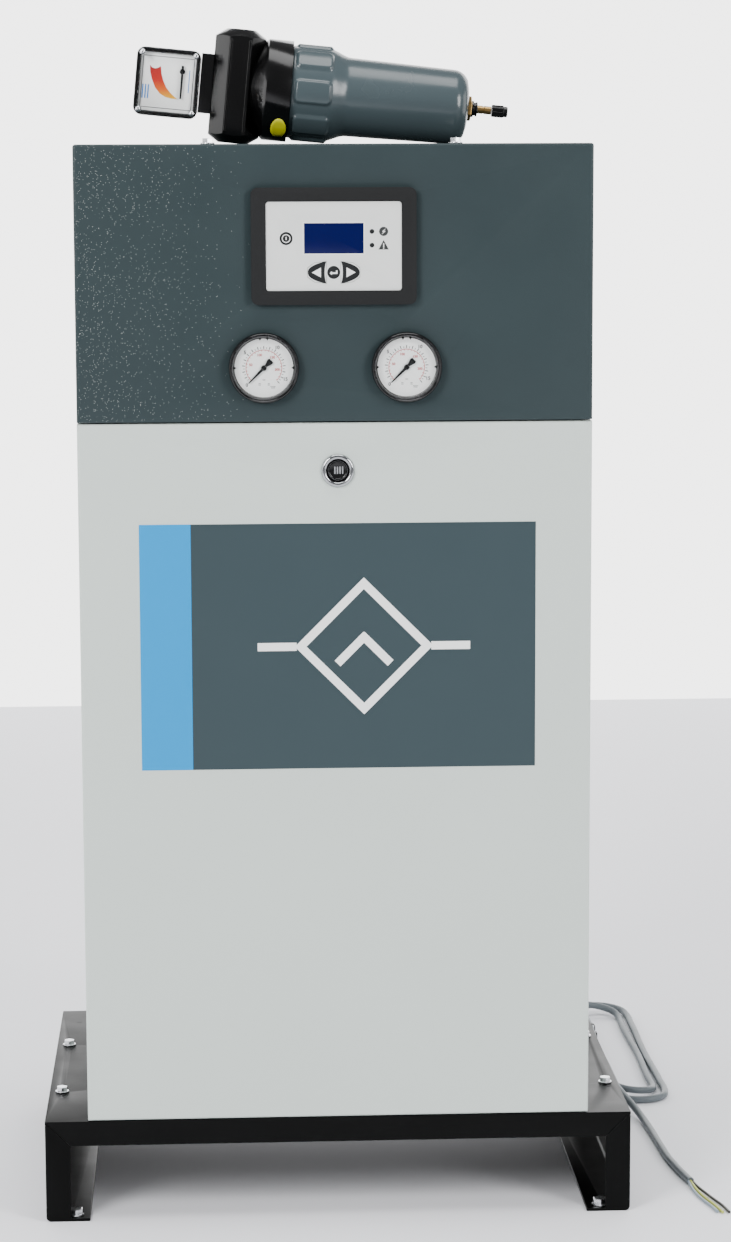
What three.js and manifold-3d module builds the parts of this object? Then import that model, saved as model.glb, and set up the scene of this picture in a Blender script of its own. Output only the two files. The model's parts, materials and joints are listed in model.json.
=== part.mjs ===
// Twin-tower compressed air dryer in a floor-standing cabinet, with a coalescing filter resting on its hood.
// Millimetres, +Z up, +X to the right seen from the front, front faces towards -Y.
// The origin is on the floor, under the middle of the dryer without its supply cord.
import * as THREE from 'three';
import { mergeVertices } from 'three/addons/utils/BufferGeometryUtils.js';
import Module from 'manifold-3d';

const wasm = await Module();
wasm.setup();

// ---------------------------------------------------------------- driving dimensions
// Clearances, and how solids of one piece run into each other and past what they cut
const GAP = 0.3;
const LAP = 0.5;
const OVERCUT = 1;
const SEAM_GAP = 1.4;
const RUNNING_CLEARANCE = 0.4;

// How many sides stand for a circle
const FINE_SIDES = 28;
const ROUND_SIDES = 24;
const FEW_SIDES = 14;
const SMALL_SIDES = 12;

// Base frame, which stands out past the cabinet at the sides and the back
const FRAME_SIDE_LEDGE = 43;
const FRAME_REAR_LEDGE = 16;
const FRAME_HEIGHT = 103;
const FRAME_SHEET = 3;
const DECK_FLANGE = 25;
const LEG_FLANGE = 25;
const FOOT_FLANGE = 44;
const SKID_BEND = 5;

// Cabinet
const CABINET_WIDTH = 500;
const CABINET_DEPTH = 408;
const CABINET_TOP = 1064.4;
const SEAM_HEIGHT = 798.6;
const SHEET = 1.5;
const BEND = 3;
const TRAY_DEPTH = 22;

// Rear ports and cable gland
const PORT_REACH = 24;
const PORT_X = 150;
const PORT_BORE_RADIUS = 10;
const PORT_BODY_RADIUS = 21;
const PORT_SHANK_RADIUS = 16.5;
const PORT_SHANK = 16;
const GLAND_X = 200;
const GLAND_Z = 150;
const GLAND_REACH = 22;
const GLAND_FLATS = 22;
const GLAND_SHANK_RADIUS = 8;
const GLAND_SHANK = 12;
const GLAND_NUT = 7;
const GLAND_DOME_RADIUS = 10;
const GLAND_TIP = 6;

// Controller
const CONTROLLER_WIDTH = 159;
const CONTROLLER_HEIGHT = 112;
const CONTROLLER_X = -1;
const CONTROLLER_Z = 967;
const CONTROLLER_CORNER = 7;
const BEZEL_PROUD = 6;
const CONTROLLER_BODY_DEPTH = 36;
const CONTROLLER_WALL = 3;
const CONTROLLER_RIM = 6;
const CONTROLLER_BODY_CORNER = 2;
const CONTROLLER_HOLLOW_CORNER = 1;
const OVERLAY_SIDE_MARGIN = 14.2;
const OVERLAY_END_MARGIN = 13.5;
const OVERLAY_RECESS = 1.2;
const OVERLAY_THICKNESS = 0.8;
const OVERLAY_CORNER = 3;
const DISPLAY_WIDTH = 57.3;
const DISPLAY_HEIGHT = 29.1;
const DISPLAY_THICKNESS = 1.4;
const DISPLAY_CORNER = 1;
const DISPLAY_Z = 7.5;
const BOARD_THICKNESS = 1.6;
const BOARD_ROOM = 6;
const ROUND_KEY_RADIUS = 6;
const START_KEY_X = -45.8;
const ENTER_KEY_X = -0.3;
const ARROW_KEY_SPACE = 1;
const ARROW_KEY_WIDTH = 18;
const ARROW_KEY_HEIGHT = 21;
const ARROW_WAIST_X = 2.7;
const ARROW_WAIST_DROP = 1.575;
const ARROW_TIP_HEIGHT = 8.4;
const KEY_ROW_Z = -25;
const KEY_LENGTH = 3;
const KEY_PROUD = 0.5;

// Gauges
const GAUGE_X = 69;
const GAUGE_Z = 850.6;
const GAUGE_RADIUS = 34;
const GAUGE_PROUD = 9;
const GAUGE_EDGE = 2;
const GAUGE_FLANGE = 4;
const GAUGE_RIM = 5.4;
const GAUGE_BODY_DEPTH = 26;
const GAUGE_BORE_DEPTH = 9.5;
const GAUGE_STUB_RADIUS = 6;
const GAUGE_STUB_LENGTH = 14;
const DIAL_THICKNESS = 0.8;
const LENS_RECESS = 1.2;
const LENS_THICKNESS = 1.8;
const POINTER_LENGTH = 22;
const POINTER_TAIL = 9;
const POINTER_WIDTH = 2;
const POINTER_TIP_WIDTH = 0.8;
const POINTER_HUB_RADIUS = 2.8;
const POINTER_THICKNESS = 0.8;
const POINTER_ABOVE_DIAL = 1.2;

// Lock
const LOCK_X = 2;
const LOCK_Z = 750.6;
const LOCK_RADIUS = 16.3;
const LOCK_PROUD = 3;
const LOCK_EDGE_WIDTH = 1.5;
const LOCK_EDGE_DEPTH = 2;
const LOCK_BODY_RADIUS = 11;
const LOCK_BEHIND_TRAY = 4;
const LOCK_CORE_RADIUS = 7;
const LOCK_CORE_RECESS = 1;
const TONGUE_LENGTH = 38;
const TONGUE_WIDTH = 16;
const TONGUE_THICKNESS = 2.5;

// Keeper rail
const RAIL_DEPTH = 40;
const RAIL_SHEET = 2;
const LATCH_CLEARANCE = 3;
const SIDE_FLANGE = 18;

// Rear vents
const VENT_ROWS = 6;
const VENT_X = 75;
const VENT_Z = 230;
const VENT_PITCH = 16;
const VENT_WIDTH = 110;
const VENT_HEIGHT = 6;

// Bolts
const BOLT_HEAD_FLATS = 10;
const BOLT_HEAD_HEIGHT = 4.2;
const BOLT_FLANGE_RADIUS = 7;
const BOLT_FLANGE_HEIGHT = 1.8;
const BOLT_SHANK_RADIUS = 3;
const BOLT_LENGTH = 12;
const DECK_BOLT_FROM_SIDE = 13;
const DECK_BOLTS_BEHIND_FRONT = [104.5, 281.5];
const HOOD_BOLT_X = 121;
const HOOD_BOLT_BEHIND_FRONT = 60;

// Desiccant towers and manifolds
const TOWER_RADIUS = 70;
const TOWER_WALL = 6;
const TOWER_SPACING = 190;
const TOWERS_BEHIND_FRONT = 231.5;
const TOWER_HEIGHT = 690;
const TOWER_SEAT = 6;
const MANIFOLD_SIDE_RIM = 7;
const MANIFOLD_FRONT_RIM = 12;
const MANIFOLD_HEIGHT = 62;
const MANIFOLD_CHAMFER = 12;
const PIPE_RADIUS = 14;
const ELBOW_RADIUS = 15.5;
const INLET_PIPE_FROM_BACK = 51.5;
const VALVE_RADIUS = 17;
const VALVE_BODY = 36;
const VALVE_COIL_HEIGHT = 48;
const SILENCER_RADIUS = 20;
const SILENCER_DROP = 12;
const SILENCER_RISE = 104;
const SILENCER_EDGE = 4;
const SILENCER_CROWN = 6;
const SILENCER_STUB_RADIUS = 8;
const SILENCER_OFFSET = 34;

// Filter
const FILTER_HEAD_X = -91;
const FILTER_BEHIND_FRONT = 112;
const HEAD_WIDTH = 50;
const HEAD_BEYOND_SKIRT = 6;
const HEAD_FLAT = 22;
const HEAD_CORNER_ROOM = 3;
const HEAD_CONE_START = 12;
const HEAD_CONE_RADIUS = 24;
const HEAD_CONE_STEP = 3;
const HEAD_END_RADIUS = 14.5;
const HEAD_END_CHAMFER = 9;
const HEAD_PORT_RADIUS = 12;
const HEAD_PORT_DEPTH = 24;
const SKIRT_RADIUS = 49.5;
const SKIRT_LENGTH = 27;
const SKIRT_WALL = 5;
const SKIRT_FLOOR = 5;
const SKIRT_EDGE = 3;
const NECK_LENGTH = 12;
const NECK_ROOT = 6;
const NECK_HEIGHT = 58;
const NECK_DEPTH = 22;
const COLLAR_START = 8;
const GRIP_INSIDE_SKIRT = 2;
const GRIP_LENGTH = 36;
const GRIP_EDGE_WIDTH = 1.5;
const GRIP_EDGE_LENGTH = 2;
const TAPER_LENGTH = 22;
const BOWL_RADIUS = 38.5;
const BOWL_END_RADIUS = 36.5;
const BOWL_LENGTH = 176;
const BOWL_NOSE = 16;
const BOWL_WALL = 4;
const NOSE_STEPS = 4;
const ELEMENT_RADIUS = 26;
const ELEMENT_CORE_RADIUS = 14.3;
const ELEMENT_LENGTH = 132;
const ELEMENT_CAP = 6;
const INDICATOR_WIDTH = 63;
const INDICATOR_HEIGHT = 66;
const INDICATOR_DEPTH = 26;
const INDICATOR_CORNER = 8;
const INDICATOR_RIM = 4;
const INDICATOR_RECESS = 6;
const INDICATOR_RECESS_CORNER = 5;
const INDICATOR_DIAL_CORNER = 4.5;
const COVER_THICKNESS = 5;
const COVER_WALL = 1.6;
const COVER_RIM = 4.5;
const COVER_POCKET_CORNER = 4;
const INDICATOR_POINTER_LENGTH = 27;
const INDICATOR_PIVOT_X = 14;
const INDICATOR_PIVOT_Z = 12;
const INDICATOR_POINTER_TAIL = 6;
const INDICATOR_POINTER_Y = 2;
const INDICATOR_DROP = -3;
const DRAIN_HEX_FLATS = 21;
const DRAIN_SHANK = 8;
const DRAIN_HEX_LENGTH = 4;
const DRAIN_NUT_RADIUS = 7;
const DRAIN_NUT_LENGTH = 5;
const DRAIN_STEM_RADIUS = 4;
const DRAIN_STEM_LENGTH = 15;
const DRAIN_HOLE_RADIUS = 5.5;
const KNOB_RADIUS = 6;
const KNOB_LENGTH = 16;
const KNOB_EDGE_WIDTH = 2;
const KNOB_EDGE_LENGTH = 3;

// Supply cord
const CORD_DIAMETER = 8;
const CORD_SIDES = 8;
const CORD_STEP = 20;
const CORD_FLOOR_Z = 4.4;
const HANK_X = 355;
const HANK_HALF_WIDTH = 29;
const HANK_NEAR_Y = 187;
const HANK_FAR_Y = 520;
const HANK_LAYERS = 3;
const LAYER_STEP = 8.2;
const CORE_DIAMETER = 3;

// ---------------------------------------------------------------- places worked out from the sizes
const FRONT_Y = -(CABINET_DEPTH + PORT_REACH - GAUGE_PROUD) / 2;
const BACK_Y = FRONT_Y + CABINET_DEPTH;
const FRAME_BACK_Y = BACK_Y + FRAME_REAR_LEDGE;
const HOOD_BOLT_Y = FRONT_Y + HOOD_BOLT_BEHIND_FRONT;
const HALF_CABINET = CABINET_WIDTH / 2;
const HALF_FRAME = HALF_CABINET + FRAME_SIDE_LEDGE;
const PANEL_BOTTOM = FRAME_HEIGHT + GAP;
const INNER_TOP = CABINET_TOP - SHEET;
const TRAY_TOP = SEAM_HEIGHT - SEAM_GAP;
const SIDE_FRONT_Y = FRONT_Y + TRAY_DEPTH + SEAM_GAP;
const LOCK_BODY_DEPTH = TRAY_DEPTH + LOCK_BEHIND_TRAY;
const OVERLAY_WIDTH = CONTROLLER_WIDTH - 2 * OVERLAY_SIDE_MARGIN;
const OVERLAY_HEIGHT = CONTROLLER_HEIGHT - 2 * OVERLAY_END_MARGIN;
const ARROW_KEY_X = ROUND_KEY_RADIUS + ARROW_KEY_SPACE + ARROW_KEY_WIDTH / 2;
const GAUGE_BODY_RADIUS = GAUGE_RADIUS - GAUGE_FLANGE;
const GAUGE_BORE_RADIUS = GAUGE_RADIUS - GAUGE_RIM;
const TOWER_Y = FRONT_Y + TOWERS_BEHIND_FRONT;
const INLET_PIPE_Y = BACK_Y - INLET_PIPE_FROM_BACK;
const MANIFOLD_WIDTH = TOWER_SPACING + 2 * (TOWER_RADIUS + MANIFOLD_SIDE_RIM);
const MANIFOLD_DEPTH = 2 * (TOWER_RADIUS + MANIFOLD_FRONT_RIM);
const HEAD_HALF_LENGTH = SKIRT_RADIUS + HEAD_BEYOND_SKIRT;
const GRIP_RADIUS = SKIRT_RADIUS - GRIP_INSIDE_SKIRT;
const MANIFOLD_TOP = PANEL_BOTTOM + MANIFOLD_HEIGHT;
const TOWER_BOTTOM = MANIFOLD_TOP - TOWER_SEAT + GAP;
const TOP_MANIFOLD_Z = TOWER_BOTTOM + TOWER_HEIGHT - TOWER_SEAT + GAP;
const PORT_Z = TOP_MANIFOLD_Z + MANIFOLD_HEIGHT / 2;
const BOTTOM_PORT_Z = PANEL_BOTTOM + MANIFOLD_HEIGHT / 2;
const MANIFOLD_BACK_Y = TOWER_Y + MANIFOLD_DEPTH / 2;
const MANIFOLD_FRONT_Y = TOWER_Y - MANIFOLD_DEPTH / 2;

const group = new THREE.Group();

// ---------------------------------------------------------------- materials
function paint(color, roughness, metalness = 0) {
  return new THREE.MeshStandardMaterial({ color, roughness, metalness });
}

const MATERIALS = {
  hood: paint('#41504f', 0.55),
  panel: paint('#c9cfcb', 0.5),
  frame: paint('#18191a', 0.35),
  zinc: paint('#b9bcbd', 0.3, 1),
  chrome: paint('#d8dadb', 0.12, 1),
  brass: paint('#a98646', 0.3, 1),
  aluminium: paint('#b4b7ba', 0.4, 1),
  copper: paint('#8d9094', 0.35, 1),
  blackPlastic: paint('#26282a', 0.55),
  darkCasting: paint('#141617', 0.3),
  slate: paint('#4d5a5e', 0.35),
  keypad: paint('#d4d6d3', 0.45),
  display: paint('#0e1f5f', 0.1),
  key: paint('#2b2d2f', 0.5),
  dial: paint('#ececea', 0.6),
  pointer: paint('#0d0d0e', 0.5),
  glass: paint('#e8eef0', 0.05),
  board: paint('#1f5a35', 0.6),
  media: paint('#e9e6da', 0.9),
  silencer: paint('#d9d3c4', 0.85),
  sheath: paint('#8b9195', 0.55),
};

// ---------------------------------------------------------------- shape helpers
// A named mesh in its parent, with its place and turn.
function add(name, geometry, material, place = [0, 0, 0], parent = group) {
  const mesh = new THREE.Mesh(geometry, material);
  mesh.name = name;
  mesh.position.set(...place);
  parent.add(mesh);
  return mesh;
}

// One shared vertex per corner, and no triangle that is shrunk to a line.
function welded(geometry) {
  const bare = geometry.clone();
  bare.deleteAttribute('normal');
  bare.deleteAttribute('uv');
  const merged = mergeVertices(bare, 1e-4);
  const kept = [];
  const index = merged.index.array;
  for (let i = 0; i < index.length; i += 3) {
    const [a, b, c] = [index[i], index[i + 1], index[i + 2]];
    if (a !== b && b !== c && c !== a) kept.push(a, b, c);
  }
  merged.setIndex(kept);
  return merged;
}

function signedVolume(geometry) {
  const places = geometry.attributes.position;
  const [a, b, c] = [new THREE.Vector3(), new THREE.Vector3(), new THREE.Vector3()];
  let total = 0;
  for (let i = 0; i < geometry.index.count; i += 3) {
    a.fromBufferAttribute(places, geometry.index.getX(i));
    b.fromBufferAttribute(places, geometry.index.getX(i + 1));
    c.fromBufferAttribute(places, geometry.index.getX(i + 2));
    total += a.dot(b.cross(c)) / 6;
  }
  return total;
}

function turnedInsideOut(geometry) {
  const corners = geometry.index.array;
  for (let i = 0; i < corners.length; i += 3) {
    [corners[i], corners[i + 1]] = [corners[i + 1], corners[i]];
  }
  return geometry;
}

// The same closed surface with its faces pointing out.
function facingOut(geometry) {
  const solid = welded(geometry);
  return signedVolume(solid) < 0 ? turnedInsideOut(solid) : solid;
}

function toSolid(geometry) {
  const closed = facingOut(geometry);
  const mesh = new wasm.Mesh({
    numProp: 3,
    vertProperties: new Float32Array(closed.attributes.position.array),
    triVerts: new Uint32Array(closed.index.array),
  });
  return new wasm.Manifold(mesh);
}

function toGeometry(solid) {
  const mesh = solid.getMesh();
  const geometry = new THREE.BufferGeometry();
  geometry.setAttribute('position', new THREE.BufferAttribute(mesh.vertProperties, 3));
  geometry.setIndex(new THREE.BufferAttribute(mesh.triVerts, 1));
  return geometry;
}

function cut(geometry, ...tools) {
  return toGeometry(tools.reduce((solid, tool) => solid.subtract(toSolid(tool)), toSolid(geometry)));
}

function join(first, ...others) {
  return toGeometry(others.reduce((solid, other) => solid.add(toSolid(other)), toSolid(first)));
}

function common(first, ...others) {
  return toGeometry(others.reduce((solid, other) => solid.intersect(toSolid(other)), toSolid(first)));
}

// A box between two corners.
function slab(x0, x1, y0, y1, z0, z1) {
  const box = new THREE.BoxGeometry(x1 - x0, y1 - y0, z1 - z0);
  return box.translate((x0 + x1) / 2, (y0 + y1) / 2, (z0 + z1) / 2);
}

// A solid of revolution about an axis: pairs of [radius, distance along the axis].
function turned(profile, axis, segments = ROUND_SIDES) {
  const points = profile.map(([radius, along]) => new THREE.Vector2(radius, along));
  const lathe = new THREE.LatheGeometry(points, segments);
  if (axis === 'x') lathe.rotateZ(-Math.PI / 2);
  if (axis === 'z') lathe.rotateX(Math.PI / 2);
  return facingOut(lathe);
}

function rod(radius, from, to, axis, segments = ROUND_SIDES) {
  return turned([[0, from], [radius, from], [radius, to], [0, to]], axis, segments);
}

function ring(outer, inner, from, to, axis, segments = ROUND_SIDES) {
  return turned([[inner, from], [outer, from], [outer, to], [inner, to], [inner, from]], axis, segments);
}

function hexagon(flats, from, to, axis) {
  const corner = flats / Math.sqrt(3);
  return rod(corner, from, to, axis, 6);
}

// A rectangle with round corners, as a shape about its middle.
function roundedShape(width, height, radius) {
  const x = width / 2;
  const y = height / 2;
  const shape = new THREE.Shape();
  shape.moveTo(-x + radius, -y);
  shape.lineTo(x - radius, -y);
  shape.absarc(x - radius, -y + radius, radius, -Math.PI / 2, 0);
  shape.lineTo(x, y - radius);
  shape.absarc(x - radius, y - radius, radius, 0, Math.PI / 2);
  shape.lineTo(-x + radius, y);
  shape.absarc(-x + radius, y - radius, radius, Math.PI / 2, Math.PI);
  shape.lineTo(-x, -y + radius);
  shape.absarc(-x + radius, -y + radius, radius, Math.PI, Math.PI * 1.5);
  return shape;
}

function outline(points) {
  return new THREE.Shape(points.map(([x, y]) => new THREE.Vector2(x, y)));
}

// A shape drawn in X and Z, with its thickness from y0 back to y1.
function upright(shape, y0, y1, curveSegments = 4) {
  const plate = new THREE.ExtrudeGeometry(shape, { depth: y1 - y0, bevelEnabled: false, curveSegments });
  return plate.rotateX(Math.PI / 2).translate(0, y1, 0);
}

// A shape drawn in X and Y, standing from z0 up to z1.
function standing(shape, z0, z1, curveSegments = 4) {
  const plate = new THREE.ExtrudeGeometry(shape, { depth: z1 - z0, bevelEnabled: false, curveSegments });
  return plate.translate(0, 0, z0);
}

// A shape drawn in Y and Z, with its thickness from x0 to x1.
function sideways(shape, x0, x1, curveSegments = 4) {
  const plate = new THREE.ExtrudeGeometry(shape, { depth: x1 - x0, bevelEnabled: false, curveSegments });
  return plate.rotateX(Math.PI / 2).rotateZ(Math.PI / 2).translate(x0, 0, 0);
}

// ---------------------------------------------------------------- base frame
// The deck's front and back flanges meet the skids' end flanges in a mitre at each top corner.
function mitredFlange(y0, y1) {
  const top = FRAME_HEIGHT - FRAME_SHEET - GAP;
  const bottom = FRAME_HEIGHT - DECK_FLANGE;
  const inner = HALF_FRAME - LEG_FLANGE - GAP;
  const outer = HALF_FRAME - FRAME_SHEET - GAP;
  const lap = top + LAP;
  return upright(outline([[-inner, bottom], [inner, bottom], [outer, top], [outer, lap],
    [-outer, lap], [-outer, top]]), y0, y1);
}

function deckGeometry() {
  const plate = slab(-HALF_FRAME, HALF_FRAME, FRONT_Y, FRAME_BACK_Y, FRAME_HEIGHT - FRAME_SHEET, FRAME_HEIGHT);
  const front = mitredFlange(FRONT_Y, FRONT_Y + FRAME_SHEET);
  const back = mitredFlange(FRAME_BACK_Y - FRAME_SHEET, FRAME_BACK_Y);
  const holes = deckBoltPlaces().map(([x, y]) => rod(BOLT_SHANK_RADIUS + GAP, 0, FRAME_HEIGHT + OVERCUT, 'z',
    SMALL_SIDES).translate(x, y, 0));
  return cut(join(plate, front, back), ...holes);
}

function skidEnd(y0, y1) {
  const top = FRAME_HEIGHT - FRAME_SHEET - GAP;
  const inner = HALF_FRAME - LEG_FLANGE;
  const knee = FRAME_HEIGHT - DECK_FLANGE - GAP;
  return upright(outline([[inner, 0], [HALF_FRAME - SKID_BEND, 0], [HALF_FRAME, SKID_BEND],
    [HALF_FRAME, top], [HALF_FRAME - FRAME_SHEET, top], [inner, knee]]), y0, y1);
}

// The right skid: an outer wall, a foot flange turned inwards, and an end flange front and back.
function skidGeometry() {
  const top = FRAME_HEIGHT - FRAME_SHEET - GAP;
  const outer = HALF_FRAME;
  const section = new THREE.Shape();
  section.moveTo(outer - FOOT_FLANGE, 0);
  section.lineTo(outer - SKID_BEND, 0);
  section.absarc(outer - SKID_BEND, SKID_BEND, SKID_BEND, -Math.PI / 2, 0);
  section.lineTo(outer, top);
  section.lineTo(outer - FRAME_SHEET, top);
  section.lineTo(outer - FRAME_SHEET, SKID_BEND);
  section.lineTo(outer - SKID_BEND, FRAME_SHEET);
  section.lineTo(outer - FOOT_FLANGE, FRAME_SHEET);
  return join(upright(section, FRONT_Y, FRAME_BACK_Y), skidEnd(FRONT_Y, FRONT_Y + FRAME_SHEET),
    skidEnd(FRAME_BACK_Y - FRAME_SHEET, FRAME_BACK_Y));
}

function mirrored(geometry) {
  return facingOut(geometry.clone().scale(-1, 1, 1));
}

function deckBoltPlaces() {
  const x = HALF_FRAME - DECK_BOLT_FROM_SIDE;
  return [-x, x].flatMap((side) => DECK_BOLTS_BEHIND_FRONT.map((behind) => [side, FRONT_Y + behind]));
}

function boltGeometry() {
  const shank = rod(BOLT_SHANK_RADIUS, -BOLT_LENGTH, GAP + LAP, 'z', SMALL_SIDES);
  const flange = rod(BOLT_FLANGE_RADIUS, GAP, BOLT_FLANGE_HEIGHT, 'z', FEW_SIDES);
  const head = hexagon(BOLT_HEAD_FLATS, BOLT_FLANGE_HEIGHT - LAP, BOLT_FLANGE_HEIGHT + BOLT_HEAD_HEIGHT, 'z');
  return join(shank, flange, head);
}

add('base_deck', deckGeometry(), MATERIALS.frame);
const skid = skidGeometry();
add('right_skid', skid, MATERIALS.frame);
add('left_skid', mirrored(skid), MATERIALS.frame);
deckBoltPlaces().forEach(([x, y], index) => {
  add(`deck_bolt_${index + 1}`, boltGeometry(), MATERIALS.zinc, [x, y, FRAME_HEIGHT]);
});

// ---------------------------------------------------------------- cabinet panels
// The lower side panels: flat sheets with a folded flange along the front and the back.
function sidePanelGeometry() {
  const outer = HALF_CABINET;
  const shape = new THREE.Shape();
  shape.moveTo(outer - SIDE_FLANGE, SIDE_FRONT_Y);
  shape.lineTo(outer - BEND, SIDE_FRONT_Y);
  shape.absarc(outer - BEND, SIDE_FRONT_Y + BEND, BEND, -Math.PI / 2, 0);
  shape.lineTo(outer, BACK_Y);
  shape.lineTo(outer - SHEET, BACK_Y);
  shape.lineTo(outer - SHEET, SIDE_FRONT_Y + SHEET);
  shape.lineTo(outer - SIDE_FLANGE, SIDE_FRONT_Y + SHEET);
  return standing(shape, PANEL_BOTTOM, TRAY_TOP);
}

function rearPanelGeometry() {
  const outer = HALF_CABINET - SHEET - GAP;
  const plate = slab(-outer, outer, BACK_Y - SHEET, BACK_Y, PANEL_BOTTOM, INNER_TOP - GAP);
  const [from, to] = [BACK_Y - SHEET - OVERCUT, BACK_Y + OVERCUT];
  const portHole = (x) => rod(PORT_SHANK_RADIUS + GAP, from, to, 'y').translate(x, 0, PORT_Z);
  const glandHole = rod(GLAND_SHANK_RADIUS + GAP, from, to, 'y', SMALL_SIDES).translate(GLAND_X, 0, GLAND_Z);
  const slots = [];
  for (let row = 0; row < VENT_ROWS; row += 1) {
    for (const x of [-VENT_X, VENT_X]) {
      const z = VENT_Z + row * VENT_PITCH;
      slots.push(slab(x - VENT_WIDTH / 2, x + VENT_WIDTH / 2, from, to, z, z + VENT_HEIGHT));
    }
  }
  return cut(plate, portHole(-PORT_X), portHole(PORT_X), glandHole, ...slots);
}

// The hood: front, top and two sides of bent sheet, open below and behind, with holes for the instruments.
function hoodGeometry() {
  const x = HALF_CABINET;
  const plan = new THREE.Shape();
  plan.moveTo(-x + BEND, FRONT_Y);
  plan.lineTo(x - BEND, FRONT_Y);
  plan.absarc(x - BEND, FRONT_Y + BEND, BEND, -Math.PI / 2, 0);
  plan.lineTo(x, BACK_Y);
  plan.lineTo(-x, BACK_Y);
  plan.absarc(-x + BEND, FRONT_Y + BEND, BEND, Math.PI, Math.PI * 1.5);
  const face = new THREE.Shape();
  face.moveTo(-x, SEAM_HEIGHT);
  face.lineTo(x, SEAM_HEIGHT);
  face.absarc(x - BEND, CABINET_TOP - BEND, BEND, 0, Math.PI / 2);
  face.absarc(-x + BEND, CABINET_TOP - BEND, BEND, Math.PI / 2, Math.PI);
  const profile = new THREE.Shape();
  profile.moveTo(FRONT_Y, SEAM_HEIGHT);
  profile.lineTo(BACK_Y, SEAM_HEIGHT);
  profile.lineTo(BACK_Y, CABINET_TOP);
  profile.absarc(FRONT_Y + BEND, CABINET_TOP - BEND, BEND, Math.PI / 2, Math.PI);
  const outside = common(standing(plan, SEAM_HEIGHT, CABINET_TOP), upright(face, FRONT_Y, BACK_Y),
    sideways(profile, -x, x));
  const inside = slab(-x + SHEET, x - SHEET, FRONT_Y + SHEET, BACK_Y + OVERCUT,
    SEAM_HEIGHT - OVERCUT, INNER_TOP);
  const [from, to] = [FRONT_Y - OVERCUT, FRONT_Y + SHEET + OVERCUT];
  const window = controllerBlock(CONTROLLER_RIM - GAP, from, to);
  const gaugeHoles = [-GAUGE_X, GAUGE_X].map((place) => rod(GAUGE_BODY_RADIUS + GAP, from, to, 'y')
    .translate(place, 0, GAUGE_Z));
  const boltHoles = [-HOOD_BOLT_X, HOOD_BOLT_X].map((place) => rod(BOLT_SHANK_RADIUS + GAP,
    INNER_TOP - OVERCUT, CABINET_TOP + OVERCUT, 'z', SMALL_SIDES).translate(place, HOOD_BOLT_Y, 0));
  return cut(outside, inside, window, ...gaugeHoles, ...boltHoles);
}

// The front panel: a shallow tray whose four edges are folded back.
function frontPanelGeometry() {
  const x = HALF_CABINET;
  const back = FRONT_Y + TRAY_DEPTH;
  const plan = new THREE.Shape();
  plan.moveTo(-x + BEND, FRONT_Y);
  plan.absarc(x - BEND, FRONT_Y + BEND, BEND, -Math.PI / 2, 0);
  plan.lineTo(x, back);
  plan.lineTo(-x, back);
  plan.absarc(-x + BEND, FRONT_Y + BEND, BEND, Math.PI, Math.PI * 1.5);
  const profile = new THREE.Shape();
  profile.moveTo(back, PANEL_BOTTOM);
  profile.lineTo(back, TRAY_TOP);
  profile.absarc(FRONT_Y + BEND, TRAY_TOP - BEND, BEND, Math.PI / 2, Math.PI);
  profile.absarc(FRONT_Y + BEND, PANEL_BOTTOM + BEND, BEND, Math.PI, Math.PI * 1.5);
  const outside = common(standing(plan, PANEL_BOTTOM, TRAY_TOP), sideways(profile, -x, x));
  const inside = slab(-x + SHEET, x - SHEET, FRONT_Y + SHEET, back + OVERCUT, PANEL_BOTTOM + SHEET,
    TRAY_TOP - SHEET);
  const lockHole = rod(LOCK_BODY_RADIUS + GAP, FRONT_Y - OVERCUT, FRONT_Y + SHEET + OVERCUT, 'y')
    .translate(LOCK_X, 0, LOCK_Z);
  return cut(outside, inside, lockHole);
}

// The keeper rail under the hood: a shelf, with a lip that hangs down behind the front panel.
function keeperRailGeometry() {
  const x = HALF_CABINET - SIDE_FLANGE - SEAM_GAP;
  const shelfZ = SEAM_HEIGHT + RUNNING_CLEARANCE;
  const shelfFront = FRONT_Y + SHEET + GAP;
  const lipY = FRONT_Y + TRAY_DEPTH + SEAM_GAP;
  const lipZ = LOCK_Z + TONGUE_LENGTH + LATCH_CLEARANCE;
  const shelf = slab(-x, x, shelfFront, shelfFront + RAIL_DEPTH, shelfZ, shelfZ + RAIL_SHEET);
  return join(shelf, slab(-x, x, lipY, lipY + RAIL_SHEET, lipZ, shelfZ + RAIL_SHEET));
}

// The block that the controller's body fills, its edges set in from the bezel's.
function controllerBlock(inset, y0, y1) {
  const shape = roundedShape(CONTROLLER_WIDTH - 2 * inset, CONTROLLER_HEIGHT - 2 * inset,
    CONTROLLER_BODY_CORNER);
  return upright(shape, y0, y1).translate(CONTROLLER_X, 0, CONTROLLER_Z);
}

const sidePanel = sidePanelGeometry();
add('right_side_panel', sidePanel, MATERIALS.panel);
add('left_side_panel', mirrored(sidePanel), MATERIALS.panel);
add('rear_panel', rearPanelGeometry(), MATERIALS.panel);
add('keeper_rail', keeperRailGeometry(), MATERIALS.frame);
add('hood', hoodGeometry(), MATERIALS.hood);
add('front_panel', frontPanelGeometry(), MATERIALS.panel);
for (const [side, x] of [['left', -HOOD_BOLT_X], ['right', HOOD_BOLT_X]]) {
  add(`hood_bolt_${side}`, boltGeometry(), MATERIALS.zinc, [x, HOOD_BOLT_Y, CABINET_TOP]);
}

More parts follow.
